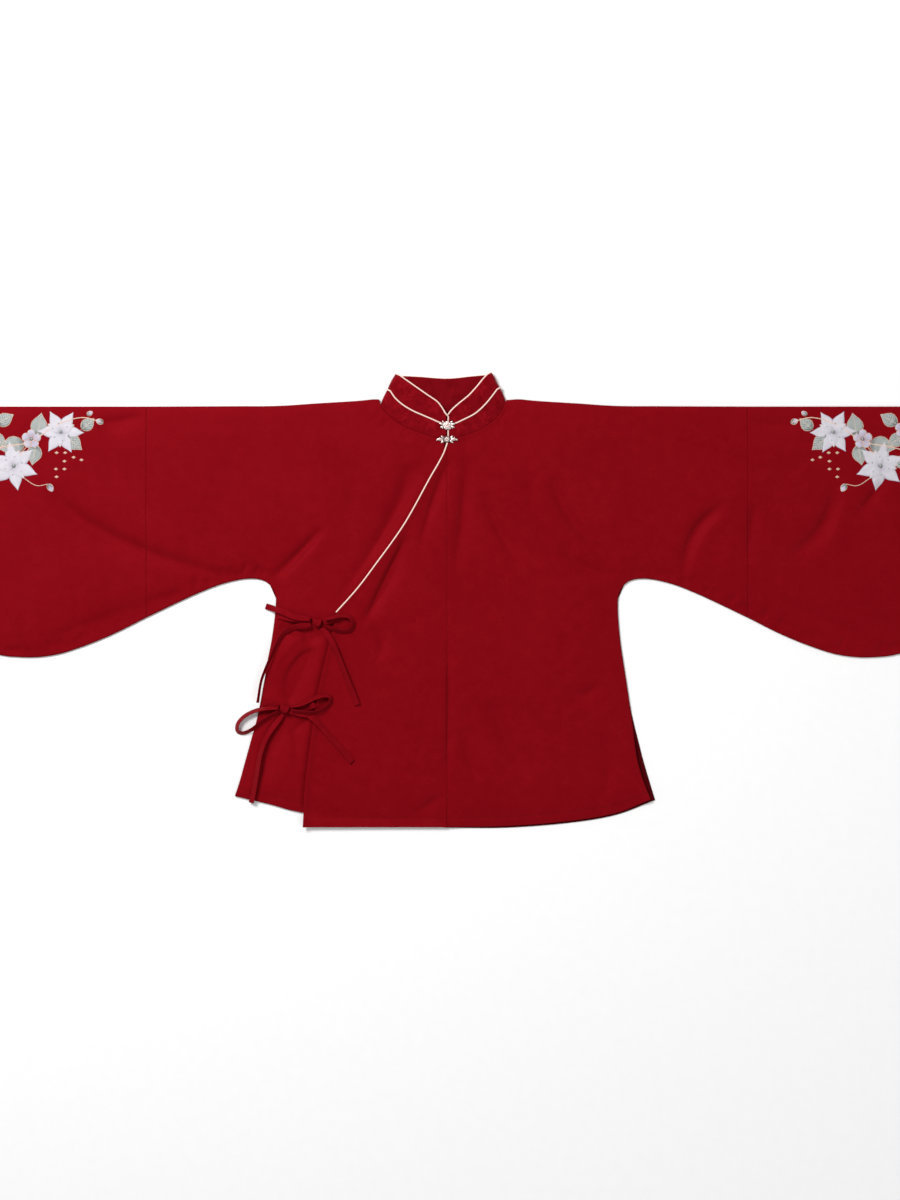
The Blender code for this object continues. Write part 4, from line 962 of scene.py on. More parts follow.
# The collar's lining, seen over the front: the back's inner face, with soft upright creases
back_part = slice(74, 138)
inner_low, inner_high = base_line[back_part], top_line[back_part]
t = np.linspace(0, 1, 25)[:, None, None]
along = lengths_along(inner_high)[None, :, None]
points = between(inner_low, inner_high, t)
creases = sum(ridge(points[..., 0], points[..., 1], row) for row in LINING_CREASES)
points[..., 2] += COLLAR_WALL / 2 + 0.0016 + creases * np.sin(np.pi * np.clip(t[..., 0], 0.02, 0.9))**0.5
flat = stacked(along[..., 0], 0.05 * t[..., 0])
collar_lining = grid_sheet("collar_lining_cloth", points, flat, RED_LINING, LINING_WALL)

# Piping
on_collar = COLLAR_WALL / 2 + PIPING_R * 0.75
middle_out = middle_line + outward(middle_line, top_line) * on_collar
edge_up = np.vstack([between(base_line[-1], middle_line[-1], t) for t in np.linspace(0.02, 1, 6)]
                    + [between(middle_line[-1], top_line[-1], t) for t in np.linspace(0.15, 0.70, 4)])
edge_up[:, 0] = base_line[-1, 0] - PIPING_R - SEAM_GAP
edge_up = np.vstack([edge_up, top_line[[2, 5]] + (0, 0, PIPING_R)])
top_path = np.vstack([top_line, [0.0013, 0.2840, COLLAR_RISE["top"]]])
slant_line = curve_through(LAP_EDGE[:LAP_CORNER_ROW + 1], 120)
slant_side = -sideways(slant_line)[:, :2]
beside = slant_line + slant_side * (PIPING_R + SEAM_GAP)
onto = np.clip((beside[:, 1] - 0.2180) / 0.0230, 0, 1)
beside[:, 0] += 0.0042 * onto
wrap_piping_z = under_z(*beside.T) * (1 - onto) + outer_z(*beside.T) * onto
wrap_piping_path = np.column_stack([beside, wrap_piping_z + CLOTH / 2 + PIPING_R])
trims = {}
for name, path, share in (("piping_collar_middle_right", middle_out[2:66], 0.92),
                          ("piping_collar_middle_left", middle_out[-66:-2], 0.92),
                          ("piping_collar_top", top_path, 0.92),
                          ("piping_collar_front", edge_up, 1.0),
                          ("piping_wrap", wrap_piping_path, 0.96)):
    trims[name] = piping(name + "_cord", path, PIPING_R * share)
    dress(trims[name], name)

# Ties, each as the points along its middle, from the knot outwards or round a loop
TIES = {
    "tie_upper_side": [(-0.2075, -0.0330), (-0.2330, -0.0290), (-0.2600, -0.0235)],
    "tie_upper_wrap": [(-0.1905, -0.0330), (-0.1810, -0.0330), (-0.1710, -0.0275)],
    "tie_upper_tail_left": [(-0.2085, -0.0380), (-0.2310, -0.0405), (-0.2487, -0.0490), (-0.2590, -0.0640),
                            (-0.2680, -0.0840), (-0.2772, -0.1040), (-0.2850, -0.1255), (-0.2900, -0.1570)],
    "tie_upper_tail_right": [(-0.1930, -0.0425), (-0.1820, -0.0540), (-0.1740, -0.0680), (-0.1660, -0.0866),
                             (-0.1540, -0.1173), (-0.1430, -0.1450), (-0.1372, -0.1608)],
    "tie_upper_loop_left": [(-0.2095, -0.0290), (-0.2330, -0.0255), (-0.2510, -0.0180), (-0.2765, -0.0095)],
    "tie_upper_loop_right": [(-0.1885, -0.0385), (-0.1740, -0.0440), (-0.1600, -0.0480), (-0.1480, -0.0460),
                             (-0.1430, -0.0360), (-0.1490, -0.0255), (-0.1620, -0.0235), (-0.1760, -0.0265),
                             (-0.1875, -0.0290)],
    "tie_lower_side": [(-0.2575, -0.1630), (-0.2680, -0.1595), (-0.2830, -0.1570)],
    "tie_lower_wrap": [(-0.2400, -0.1655), (-0.2260, -0.1660), (-0.2120, -0.1640), (-0.2010, -0.1600)],
    "tie_lower_tail_left": [(-0.2510, -0.1750), (-0.2560, -0.1810), (-0.2683, -0.1965), (-0.2784, -0.2133),
                            (-0.2861, -0.2360), (-0.2900, -0.2580), (-0.2945, -0.2850), (-0.3000, -0.3105)],
    "tie_lower_tail_right": [(-0.2405, -0.1705), (-0.2250, -0.1735), (-0.2110, -0.1765), (-0.1954, -0.1900),
                             (-0.1775, -0.2100), (-0.1600, -0.2285), (-0.1450, -0.2475)],
    "tie_lower_loop_left": [(-0.2580, -0.1700), (-0.2700, -0.1770), (-0.2850, -0.1870), (-0.2980, -0.1975),
                            (-0.3110, -0.2035), (-0.3210, -0.2010), (-0.3210, -0.1900), (-0.3120, -0.1790),
                            (-0.2980, -0.1710), (-0.2830, -0.1665), (-0.2700, -0.1650), (-0.2585, -0.1655)],
    "tie_lower_loop_right": [(-0.2395, -0.1625), (-0.2260, -0.1600), (-0.2130, -0.1550), (-0.2010, -0.1490),
                             (-0.1890, -0.1455), (-0.1790, -0.1470), (-0.1780, -0.1550), (-0.1850, -0.1640),
                             (-0.1960, -0.1700), (-0.2100, -0.1720), (-0.2250, -0.1705), (-0.2390, -0.1685)],
}
PRESSED = ("tie_upper_loop_left",)
TIE_SEEN = 0.0092
KNOT_PULL = 0.009
LEAN = {"tie_upper_tail_right": (34, 14), "tie_upper_tail_left": (-42, -66), "tie_lower_tail_left": (36, 26),
        "tie_lower_tail_right": (-30, -12), "tie_upper_side": (14, 0), "tie_lower_side": (-18, 0)}
BOWS = [
    {"knot": "knot_upper", "centre": (-0.1990, -0.0345), "size": (0.0142, 0.0118, 0.0090), "angle": -8,
     "straps": ["tie_upper_side", "tie_upper_wrap"],
     "tails": ["tie_upper_tail_left", "tie_upper_tail_right"],
     "loops": ["tie_upper_loop_left", "tie_upper_loop_right"]},
    {"knot": "knot_lower", "centre": (-0.2487, -0.1665), "size": (0.0146, 0.0120, 0.0090), "angle": -20,
     "straps": ["tie_lower_side", "tie_lower_wrap"],
     "tails": ["tie_lower_tail_left", "tie_lower_tail_right"],
     "loops": ["tie_lower_loop_left", "tie_lower_loop_right"]},
]
LOOP_BANK = 52
LOOP_TURN_R = 0.0012


def top_of(objects):
    """A function that gives the height of what is already laid at a point, or the table's."""
    bpy.context.view_layer.update()
    graph = bpy.context.evaluated_depsgraph_get()
    trees = [BVHTree.FromObject(o, graph) for o in objects]

    def height(x, y):
        hits = [tree.ray_cast(Vector((x, y, 0.2)), Vector((0, 0, -1)))[0] for tree in trees]
        return max([hit.z for hit in hits if hit] + [0.0])

    return height


def laid(path, support, half_width):
    """The least heights that carry a strip over everything under each stretch of its path."""
    need = []
    for i, (x, y) in enumerate(path):
        ahead = path[min(i + 1, len(path) - 1)] - path[max(i - 1, 0)]
        across = np.array([-ahead[1], ahead[0]]) / max(np.hypot(*ahead), 1e-9)
        spots = [np.array((x, y)) + across * s * half_width + ahead * a * 0.5
                 for s in (-1.0, -0.5, 0, 0.5, 1.0) for a in (-1, 0, 1)]
        need.append(max(support(*spot) for spot in spots))
    eased = np.array([max(need[max(i - 2, 0):i + 3]) for i in range(len(need))])
    weights = np.hanning(9)[1:-1] / np.hanning(9).sum()
    smooth = np.convolve(np.pad(eased, 3, mode="edge"), weights, mode="valid")
    return np.maximum(smooth, need)


def tie_rings(path, across, at_knot):
    """A tie sewn as a flat tube. It narrows and creases lengthwise towards the knot, is thicker over its
    seam allowance, and has a groove with small puckers along its stitched edge."""
    ahead = np.gradient(path, axis=0)
    up = unit(np.cross(ahead, across))
    s = lengths_along(path)
    near = np.exp(-s / KNOT_PULL) + (np.exp(-(s[-1] - s) / KNOT_PULL) if at_knot == "both" else 0)
    x, y = section(30, 0.55, 0.5)
    end = np.ones(len(s)) if at_knot == "both" else np.clip((s[-1] - s) / 0.0006 + 0.55, 0, 1)
    width = TIE_SEEN / 2 * (1 - 0.42 * near) * (1 - 0.06 * (1 - end))
    along, edge = s[:, None], x[None, :]
    groove = np.exp(-((edge - 0.72) / 0.09)**2) * (0.75 + 0.25 * np.sin(2 * np.pi * along / 0.0031))
    allowance = 0.22 * np.exp(-((edge + 0.55) / 0.30)**2)
    creases = near[:, None] * (0.55 + 0.45 * np.cos(edge * 8.5 + 1.0))
    softness = 0.10 * np.sin(310 * along + 2.5 * edge) * np.sin(97 * along + 1.3)
    swell = 1 + (allowance - 0.55 * groove + creases + softness) * (y > 0)
    height = TIE_WALL / 2 * swell * (0.45 + 0.55 * end)[:, None]
    flat = stacked(along, width[:, None] * x)
    return swept(path, across, up, width, height, (x, y)), flat


def tie_path(points):
    """Points along a tie's middle about 1.4 mm apart."""
    length = lengths_along(np.asarray(points))[-1]
    return curve_through(points, max(8, int(length / 0.0014)))


def lying_tie(name, points, support):
    """A strap or a tail. It rolls to one side along its length, by middle sin(pi s / L) + end (s / L)^2."""
    path = tie_path(points)
    s = lengths_along(path)
    middle, end = np.radians(LEAN.get(name, (6, 0)))
    share = np.clip(s / s[-1], 0.001, 0.999)
    lean = middle * np.sin(np.pi * share)**0.8 + end * share**2
    rise = TIE_WIDTH / 2 * np.abs(np.sin(lean)) + 0.00025 * (1 + np.sin(85 * s))
    z = laid(path, support, TIE_WIDTH / 2) + TIE_WALL * 0.6 + TIE_CLEAR + rise
    level = sideways(path)
    across = level * np.cos(lean)[:, None] + np.array([0, 0, 1]) * np.sin(lean)[:, None]
    return tie_rings(np.column_stack([path, z]), across, "start")


def open_loop(name, points, support):
    """A loop of the bow standing partly on its edge, its upper edge leaning in over the loop."""
    path = tie_path(points)
    tilt = math.radians(LOOP_BANK)
    level = sideways(path)
    inward = np.sign(((path.mean(axis=0) - path) * level[:, :2]).sum(axis=1).mean())
    half = TIE_WIDTH / 2 * math.cos(tilt) + TIE_WALL / 2 * math.sin(tilt)
    rise = TIE_WIDTH / 2 * math.sin(tilt) + TIE_WALL / 2 * math.cos(tilt)
    z = laid(path, support, half) + rise + TIE_CLEAR
    across = level * math.cos(tilt) + np.array([0, 0, inward]) * math.sin(tilt)
    return tie_rings(np.column_stack([path, z]), across, "both")


def pressed_loop(name, points, support):
    """A loop of the bow pressed flat: out along its path, round at its end and back on top of itself."""
    path = tie_path(points)
    z = laid(path, support, TIE_WIDTH / 2) + TIE_WALL * 0.6 + TIE_CLEAR
    out = np.column_stack([path, z])
    s = lengths_along(path)
    loft = np.array([0, 0, 0.0012]) * np.sin(np.pi * s / s[-1])[:, None]
    back = (out + (0, 0, 2 * LOOP_TURN_R) + loft)[::-1]
    across = sideways(path)
    ahead = (path[-1] - path[-2]) / np.linalg.norm(path[-1] - path[-2])
    angles = np.radians(np.arange(15, 180, 15))[:, None]
    turn = out[-1] + np.hstack([ahead * LOOP_TURN_R * np.sin(angles), LOOP_TURN_R * (1 - np.cos(angles))])
    tie = np.vstack([out, turn, back])
    return tie_rings(tie, np.vstack([across, np.broadcast_to(across[-1], turn.shape), across[::-1]]), "both")


def turned(points, degrees):
    """Points in the plane, turned to the left."""
    return np.asarray(points) @ np.array(heading(degrees))


def knot_rings(centre, size, angle, base):
    """The bow's knot: a creased lump along x, p = (half x, r cos a, r sin a) with r = (1 - x^4)^(1/2), and
    two turns of the tie wound over it, each an arc from one foot to the other."""
    half = np.array(size) / 2

    def placed(local):
        flat = turned(local[..., :2], angle) + centre
        return np.concatenate([flat, local[..., 2:] + base + half[2]], axis=-1)

    u = np.linspace(-0.985, 0.985, 34)
    radius = np.sqrt(1 - u**4)
    x, y = section(36)
    a = np.arctan2(y, x)
    crease = 1 + 0.07 * np.cos(7 * a + 3 * u[:, None]) * np.abs(u[:, None])**0.5
    lump = stacked(u[:, None] * half[0] * 0.98, half[1] * 0.82 * radius[:, None] * x * crease,
                   half[2] * 0.80 * radius[:, None] * y * crease)[:, ::-1]
    bodies = [(placed(lump), stacked(u[:, None] * half[0], a * half[1] * 0.8))]
    for slant, offset, lift in ((-0.42, -0.0012, 0.86), (0.30, 0.0016, 1.0)):
        t = np.radians(np.linspace(-112, 112, 60))
        path = np.column_stack([offset + slant * half[1] * np.sin(t), half[1] * 0.97 * np.sin(t),
                                half[2] * lift * 0.90 * np.cos(t)])
        ahead = unit(np.gradient(path, axis=0))
        out = unit(np.column_stack([np.zeros(60), np.sin(t) / half[1], np.cos(t) / half[2]]))
        across = unit(np.cross(out, ahead))
        up = np.cross(ahead, across)
        bx, by = section(26, 0.6, 0.6)
        folds = 1 + 0.55 * np.cos(bx * 7.0 + 2.2 * np.sin(t)[:, None]) * (by > 0)
        width = 0.0037 * (1 + 0.12 * np.cos(2 * t))
        rings = swept(path, across, up, width, 0.00062 * folds, (bx, by))
        bodies.append((placed(rings), stacked(lengths_along(path)[:, None], 0.0045 * bx)))
    return bodies


cloth = [body_left, body_right, sleeve_left, sleeve_right, wrap]
for bow in BOWS:
    done = []
    makers = [(name, lying_tie) for name in bow["straps"] + bow["tails"]]
    makers += [(name, pressed_loop if name in PRESSED else open_loop) for name in bow["loops"]]
    for name, maker in makers:
        rings, flat = maker(name, TIES[name], top_of(cloth + done))
        lengths_along(rings.mean(axis=1))[-1]
        done.append(joined(name + "_cloth", [(rings, flat)], RED_TIE))
        dress(done[-1], name)
    support = top_of(cloth)
    reach = np.array(bow["size"][:2]) / 2
    spots = [turned(reach * (i, j), bow["angle"]) + bow["centre"]
             for i in (-0.8, 0, 0.8) for j in (-0.8, 0, 0.8)]
    base = max(support(*spot) for spot in spots) + TIE_CLEAR
    obj = joined(bow["knot"] + "_cloth", knot_rings(bow["centre"], bow["size"], bow["angle"], base), RED_TIE)
    dress(obj, bow["knot"])

# Clasps: each a flower with leaves on both sides, in millimetres from its centre
CLASPS = [
    {"name": "clasp_upper", "centre": (0.0007, 0.2674), "petals": 5, "turn": 18, "radius": 7.4,
     "shine": 1.35, "beads": [(7.4, -4.0, 0.8)],
     "leaves": [(5.4, -0.6, -24, 6.6, 2.0), (5.2, 1.6, 12, 8.0, 2.2), (4.6, 3.4, 52, 5.4, 1.7)]},
    {"name": "clasp_lower", "centre": (0.0000, 0.2462), "petals": 8, "turn": 0, "radius": 6.0,
     "shine": 2.1, "beads": [(15.3, -1.1, 0.85), (11.2, 2.9, 0.8)],
     "leaves": [(5.0, 0.0, 2, 11.6, 2.7), (4.8, 1.4, 46, 6.6, 2.1), (4.8, -1.4, -42, 6.4, 2.1)]},
]


def pressed_petal(at, degrees, length, width, height, tip, vein=0.35):
    """One petal or leaf of pressed metal, in millimetres. Half width w(u) = width sin(pi u^tip)^0.8, foot
    flat, top z = height (1 - |x|^2.2)^0.6 sin(pi u)^0.35 (1 - rib), where the rib has a groove of depth
    vein along the middle and a low ridge on each side."""
    u = np.linspace(0.02, 0.985, 22)[:, None]
    x, y = section(20)
    ahead, across = heading(degrees)
    w = width * np.sin(np.pi * u**tip)**0.8
    rib = vein * np.exp(-(x / 0.16)**2) - 0.22 * np.exp(-((np.abs(x) - 0.55) / 0.14)**2)
    top = height * (1 - np.abs(x)**2.2)**0.6 * np.sin(np.pi * np.clip(u, 0.05, 0.97))**0.35 * (1 - rib)
    z = np.where(y > 0, top, 0.0)
    flat = np.asarray(at) + (u * length)[..., None] * ahead + (w * x)[..., None] * across
    return np.concatenate([flat, np.broadcast_to(z, flat.shape[:2])[..., None]], axis=-1)


def bead(at, radius, height):
    """A round boss: rings of radius cos b, at height 0.8 radius sin b."""
    b = np.radians(np.linspace(-88, 88, 12))[:, None]
    x, y = section(16)
    return stacked(at[0] + radius * np.cos(b) * x, at[1] + radius * np.cos(b) * y,
                   height + 0.8 * radius * np.sin(b))


def clasp_flower(clasp):
    """Petals round a hollow centre, a second row of small ones on top, and beads in the middle."""
    count, radius = clasp["petals"], clasp["radius"]
    spread = radius * math.sin(math.pi / count) * (0.86 if count == 5 else 0.88)
    shapes = []
    for start, long, wide, high, tip in ((0, 1, 1, 1.25, 1.55), (0.5, 0.60, 0.55, 1.75, 1.5)):
        for k in range(count):
            degrees = clasp["turn"] + 360 * (k + start) / count
            shapes.append(pressed_petal((0, 0), degrees, radius * long, spread * wide, high, tip))
    shapes += [bead(radius * 0.20 * heading(degrees)[0], 0.42, 1.75) for degrees in range(0, 360, 60)]
    return shapes + [bead((0, 0), 0.70, 1.95)]


def clasp_leaves(clasp, side):
    """The leaves and beads of one side, mirrored for the right."""
    shapes = [pressed_petal((x, y), degrees, length, width, 1.25, 0.75, vein=-0.30)
              for x, y, degrees, length, width in clasp["leaves"]]
    shapes += [bead((x, y), r, 0.55) for x, y, r in clasp["beads"]]
    if side < 0:
        shapes = [shape[:, ::-1] * (-1, 1, 1) for shape in shapes]
    return shapes


under_clasps = top_of([body_left, body_right, wrap, collar_lower, collar_upper])
for clasp in CLASPS:
    x, y = clasp["centre"]
    reach = 0.006
    slope = (under_clasps(x + reach, y + reach) - under_clasps(x + reach, y - reach)) / (2 * reach)
    for name, shapes in ((clasp["name"] + "_flower", clasp_flower(clasp)),
                         (clasp["name"] + "_leaves_left", clasp_leaves(clasp, 1)),
                         (clasp["name"] + "_leaves_right", clasp_leaves(clasp, -1))):
        spots = np.vstack([shape[:, ::4, :2].reshape(-1, 2) for shape in shapes])[::7] * 0.001
        foot = max(under_clasps(x + dx, y + dy) - slope * dy for dx, dy in spots) + 0.0001
        bodies = []
        for shape in shapes:
            rings = shape * 0.001
            rings[..., 2] += foot + slope * rings[..., 1]
            rings[..., :2] += (x, y)
            bodies.append((rings, shape[..., :2] * 0.001))
        obj = joined(name + "_metal", bodies, SILVER)
        heights = np.concatenate([shape[..., 2].ravel() for shape in shapes])
        attribute = obj.data.attributes.new("raised", "FLOAT", "POINT")
        shine = clasp["shine"] if name.endswith("flower") else 1.25
        attribute.data.foreach_set("value", np.clip(heights / shine, 0, 1).astype(np.float32))
        dress(obj, name)

# Embroidery on both sleeves, in millimetres on the left one: lilies and posies are (x, y, radius, turn),
# buds (x, y, turn, length), leaves (x, y, turn, length, width)
LILIES = [(592, 258, 36, 2), (664, 206, 39, 200), (757, 247, 38, -8), (846, 205, 39, 188),
          (918, 262, 18, 150)]
POSIES = [(637, 247, 15, 20), (700, 262, 14, -60), (716, 203, 15, 10), (803, 266, 14, 80),
          (798, 198, 15, 40), (884, 252, 15, 0)]
BUDS = [(527, 272, 20, 12), (611, 178, -120, 13), (744, 172, -90, 13), (905, 206, -20, 13),
        (552, 284, 150, 10), (852, 280, 70, 12)]
LEAVES = [(628, 252, 100, 36, 12), (648, 240, -12, 40, 14), (630, 238, -80, 32, 11),
          (585, 252, -140, 34, 11),
          (700, 252, -150, 30, 10), (708, 270, 20, 34, 11), (690, 270, 150, 30, 10), (716, 192, -60, 32, 11),
          (728, 206, 20, 34, 12), (706, 208, 160, 26, 9), (803, 256, -160, 32, 11), (812, 272, 10, 34, 11),
          (792, 188, -120, 33, 12), (806, 204, 60, 32, 11), (876, 244, -130, 33, 12), (892, 260, 60, 28, 10),
          (560, 262, 140, 26, 9)]
STEMS = [
    [(922, 238), (884, 246), (846, 236), (800, 226), (757, 224), (716, 226), (676, 236), (637, 243),
     (600, 268), (560, 280), (527, 272)],
    [(637, 243), (650, 228), (664, 208)], [(716, 226), (706, 246), (700, 262)],
    [(716, 226), (718, 214), (716, 203)], [(757, 224), (756, 236), (757, 247)],
    [(800, 226), (804, 246), (803, 266)], [(800, 226), (800, 212), (798, 198)],
    [(846, 236), (848, 222), (846, 205)], [(652, 190), (630, 176), (611, 178)],
    [(884, 246), (896, 226), (905, 206)], [(730, 200), (742, 190), (744, 172)],
    [(846, 236), (846, 262), (852, 280)], [(922, 238), (920, 250), (918, 262)]]
DIAMOND = (3.3, 2.5)
DIAMONDS = [(585, 226), (598, 226), (572, 219), (560, 215), (586, 213), (586, 201), (599, 201), (598, 189),
            (788, 150), (764, 161), (760, 152), (748, 150), (773, 147), (786, 134)]


def petal_width(u, width, tip, teeth, point):
    """Half width w(u) = width sin(pi u^tip)^(0.7 + point u) (1 + teeth |sin 9 pi u|)."""
    return width * np.sin(np.pi * u**tip)**(0.7 + point * u) * (1 + teeth * np.abs(np.sin(9 * np.pi * u)))


def petal_on_cloth(at, degrees, length, width, tip, height, notch=0.0, teeth=0.0, point=0.0, slant=0.0,
                   stations=16):
    """A filled petal or leaf, raised by height (1 - |x|^3), its tip drawn back by notch in the middle. The
    silk lies along it, or slants away from its rib. In millimetres."""
    u = np.linspace(0.015, 0.99, stations)[:, None]
    x, y = section(14)
    ahead, across = heading(degrees)
    w = petal_width(u, width, tip, teeth, point)
    reach = length * (u - notch * u**6 * (1 - x**2))
    flat = np.asarray(at, float) + reach[..., None] * ahead + (w * x)[..., None] * across
    lift = np.where(y > 0, height * (1 - np.abs(x)**3) * (1 - 0.4 * slant * np.exp(-(x / 0.1)**2)), -0.3)
    across_thread = reach * 0.8 - np.abs(w * x) * 0.8 if slant else w * x
    return flat, np.broadcast_to(lift, flat.shape[:2]), stacked(across_thread, reach)


def edge_of_petal(at, degrees, length, width, tip, notch=0.0, teeth=0.0, point=0.0):
    """The line round a petal, from its foot up one side, over the tip and down the other."""
    u = np.concatenate([np.linspace(0.03, 0.985, 15), np.linspace(0.985, 0.03, 15)])
    x = np.concatenate([np.ones(15), -np.ones(15)])
    ahead, across = heading(degrees)
    w = petal_width(u, width, tip, teeth, point)
    line = np.asarray(at, float) + (length * u)[:, None] * ahead + (w * x)[:, None] * across
    if notch:
        dip = np.asarray(at, float) + length * (1 - notch) * ahead
        line = np.vstack([line[:15], dip[None], line[15:]])
    return line


def thread_on_cloth(line, radius, step=2.0):
    """A couched thread along a line, in millimetres: r = radius (1 + 0.16 cos(2 a - 2 pi s / 1.6))."""
    line = curve_through(line, max(5, int(lengths_along(np.asarray(line, float))[-1] / step)))
    s = lengths_along(line)[:, None]
    across = sideways(line)[:, :2]
    x, y = section(8)
    r = radius * (1 + 0.16 * np.cos(2 * np.arctan2(y, x) - 2 * np.pi * s / 1.6))
    flat = line[:, None] + across[:, None] * (r * x)[..., None]
    return flat, r * (y + 0.35), stacked(r * x, s)


def knot_on_cloth(at, radius):
    """A French knot: a low boss of thread."""
    rings = bead(at, radius, 0.85)
    return rings[..., :2], rings[..., 2], rings[..., :2] - np.asarray(at) + (0, 8)


def diamond(at):
    """A four-sided stitch, w(u) = short (1 - |2u - 1|)."""
    long, short = DIAMOND
    u = np.linspace(0.02, 0.98, 9)[:, None]
    x, y = section(8)
    w = short * (1 - np.abs(2 * u - 1)) + 0.05
    flat = stacked(at[0] + (2 * u - 1) * long, at[1] + w * x)
    lift = np.where(y > 0, 0.55 * (w / short) * (1 - x**2)**0.5 + 0.1, -0.3)
    return flat, np.broadcast_to(lift, flat.shape[:2]), stacked(w * x, u * long)


def embroidery_shapes():
    """Every stitched shape on the left sleeve, by the thread it is worked in."""
    shapes = {"white": [], "lilac": [], "green": [], "gold": []}
    for x, y, radius, turn in LILIES:
        for layer, count, reach in ((0, 6, 1.0), (30, 3, 0.66)):
            for k in range(count):
                d = turn + layer + 360 / count * k
                petal = ((x, y), d, radius * reach, radius * 0.25, 0.78)
                edge = thread_on_cloth(edge_of_petal(*petal, point=0.75), 0.36, step=3.2)
                shapes["white"].append(petal_on_cloth(*petal, 0.75 + layer * 0.02, point=0.75, slant=0.8))
                shapes["gold" if layer else "lilac"].append(edge)
        for d in np.radians(turn + 15 + np.arange(6) * 60):
            stamen = (x + radius * 0.36 * math.cos(d), y + radius * 0.36 * math.sin(d + 0.1))
            shapes["green"].append(knot_on_cloth(stamen, 0.95))
        shapes["green"].append(knot_on_cloth((x, y), radius * 0.085))
    for x, y, radius, turn in POSIES:
        for k in range(5):
            d = turn + 72 * k
            petal = ((x, y) + 0.10 * radius * heading(d)[0], d, radius * 0.90, radius * 0.42, 1.5)
            shapes["lilac"].append(petal_on_cloth(*petal, 0.95, notch=0.10))
            shapes["gold"].append(thread_on_cloth(edge_of_petal(*petal, notch=0.10), 0.34, step=2.4))
            shapes["gold"].append(knot_on_cloth((x, y) + radius * 0.3 * heading(d + 36)[0], 0.8))
        shapes["green"].append(knot_on_cloth((x, y), radius * 0.15))
    for x, y, degrees, length in BUDS:
        petal = ((x, y), degrees, length, length * 0.36, 0.85)
        shapes["lilac"].append(petal_on_cloth(*petal, 0.8))
        shapes["gold"].append(thread_on_cloth(edge_of_petal(*petal), 0.40))
        for d in (-28, 28):
            sepal = ((x, y), degrees + d, length * 0.62, length * 0.15, 0.8)
            shapes["green"].append(petal_on_cloth(*sepal, 0.9))
    for x, y, degrees, length, width in LEAVES:
        leaf = ((x, y), degrees, length, width, 0.80)
        shapes["green"].append(petal_on_cloth(*leaf, 0.55, teeth=0.07, point=0.7, slant=1.0, stations=24))
        shapes["gold"].append(thread_on_cloth(edge_of_petal(*leaf, teeth=0.07, point=0.7), 0.36))
        rib = (x, y) + heading(degrees)[0] * np.linspace(-0.08, 0.86, 6)[:, None] * length
        shapes["gold"].append(thread_on_cloth(rib, 0.36))
    for stem in STEMS:
        shapes["gold"].append(thread_on_cloth(stem, 0.75 if len(stem) > 4 else 0.55))
    shapes["gold"] += [diamond(at) for at in DIAMONDS]
    return shapes


def stitched(name, shapes, material, side):
    """Lays flat shapes on a sleeve: z = the cloth's upper face + their own height, mirrored by the side."""
    spots = np.vstack([flat.reshape(-1, 2) for flat, _, _ in shapes]) * (0.001 * side, 0.001)
    z = LAYER_Z[side](*spots.T) + CLOTH / 2
    bodies, start = [], 0
    for flat, lift, thread in shapes:
        shape = flat.shape[:2]
        count = shape[0] * shape[1]
        here = spots[start:start + count].reshape(*shape, 2)
        rings = np.dstack([here, z[start:start + count].reshape(shape) + lift * 0.001])
        bodies.append((rings[:, ::side], np.ascontiguousarray(thread[:, ::side]) * 0.001))
        start += count
    return joined(name, bodies, material)


THREADS = {"white": PETAL_SILK, "lilac": BUD_SILK, "green": LEAF_SILK, "gold": GOLD_THREAD}
embroidery = {side: [] for side in (1, -1)}
sewn = embroidery_shapes()
for side, label in ((1, "left"), (-1, "right")):
    for silk, material in THREADS.items():
        embroidery[side].append(stitched(f"embroidery_{label}_{silk}", sewn[silk], material, side))

# Stitches along the turned hems, the slits and the wrap's free edge
STITCH = 0.0027
STITCH_PITCH = 0.0038
STITCH_R = 0.00024
STITCH_RISE = 0.00022
FROM_SLIT = 0.0070
FROM_EDGE = 0.0055


def stitch_row(line, height):
    """Short threads along a line, each an arc z = rise (1 - (2u - 1)^2) over its own length."""
    s = lengths_along(line)
    starts = np.arange(0.001, s[-1] - STITCH, STITCH_PITCH)
    u = np.linspace(0, 1, 5)
    along = (starts[:, None] + u * STITCH).ravel()
    spots = stacked(*(np.interp(along, s, column) for column in line.T))
    z = height(*spots.T) + CLOTH / 2
    path = np.column_stack([spots, z]).reshape(len(starts), 5, 3)
    path[..., 2] += STITCH_RISE * (1 - (2 * u - 1)**2) - 0.00006
    ring = section(6)
    bodies = []
    for thread in path:
        side, up = frames_along(thread)
        radius = STITCH_R * np.array([0.5, 0.95, 1.0, 0.95, 0.5])
        flat = stacked(u[:, None] * STITCH, radius[:, None] * ring[0])
        bodies.append((swept(thread, side, up, radius, radius, ring), flat))
    return bodies


def hem_line(hem, inner_x, side):
    """Where the turned hem is stitched, from the inner edge to the slit."""
    x = np.linspace(inner_x, hem[-1][0] - 0.004, 200)
    return np.column_stack([x * side, read_off(hem, x) + HEM_TURN])


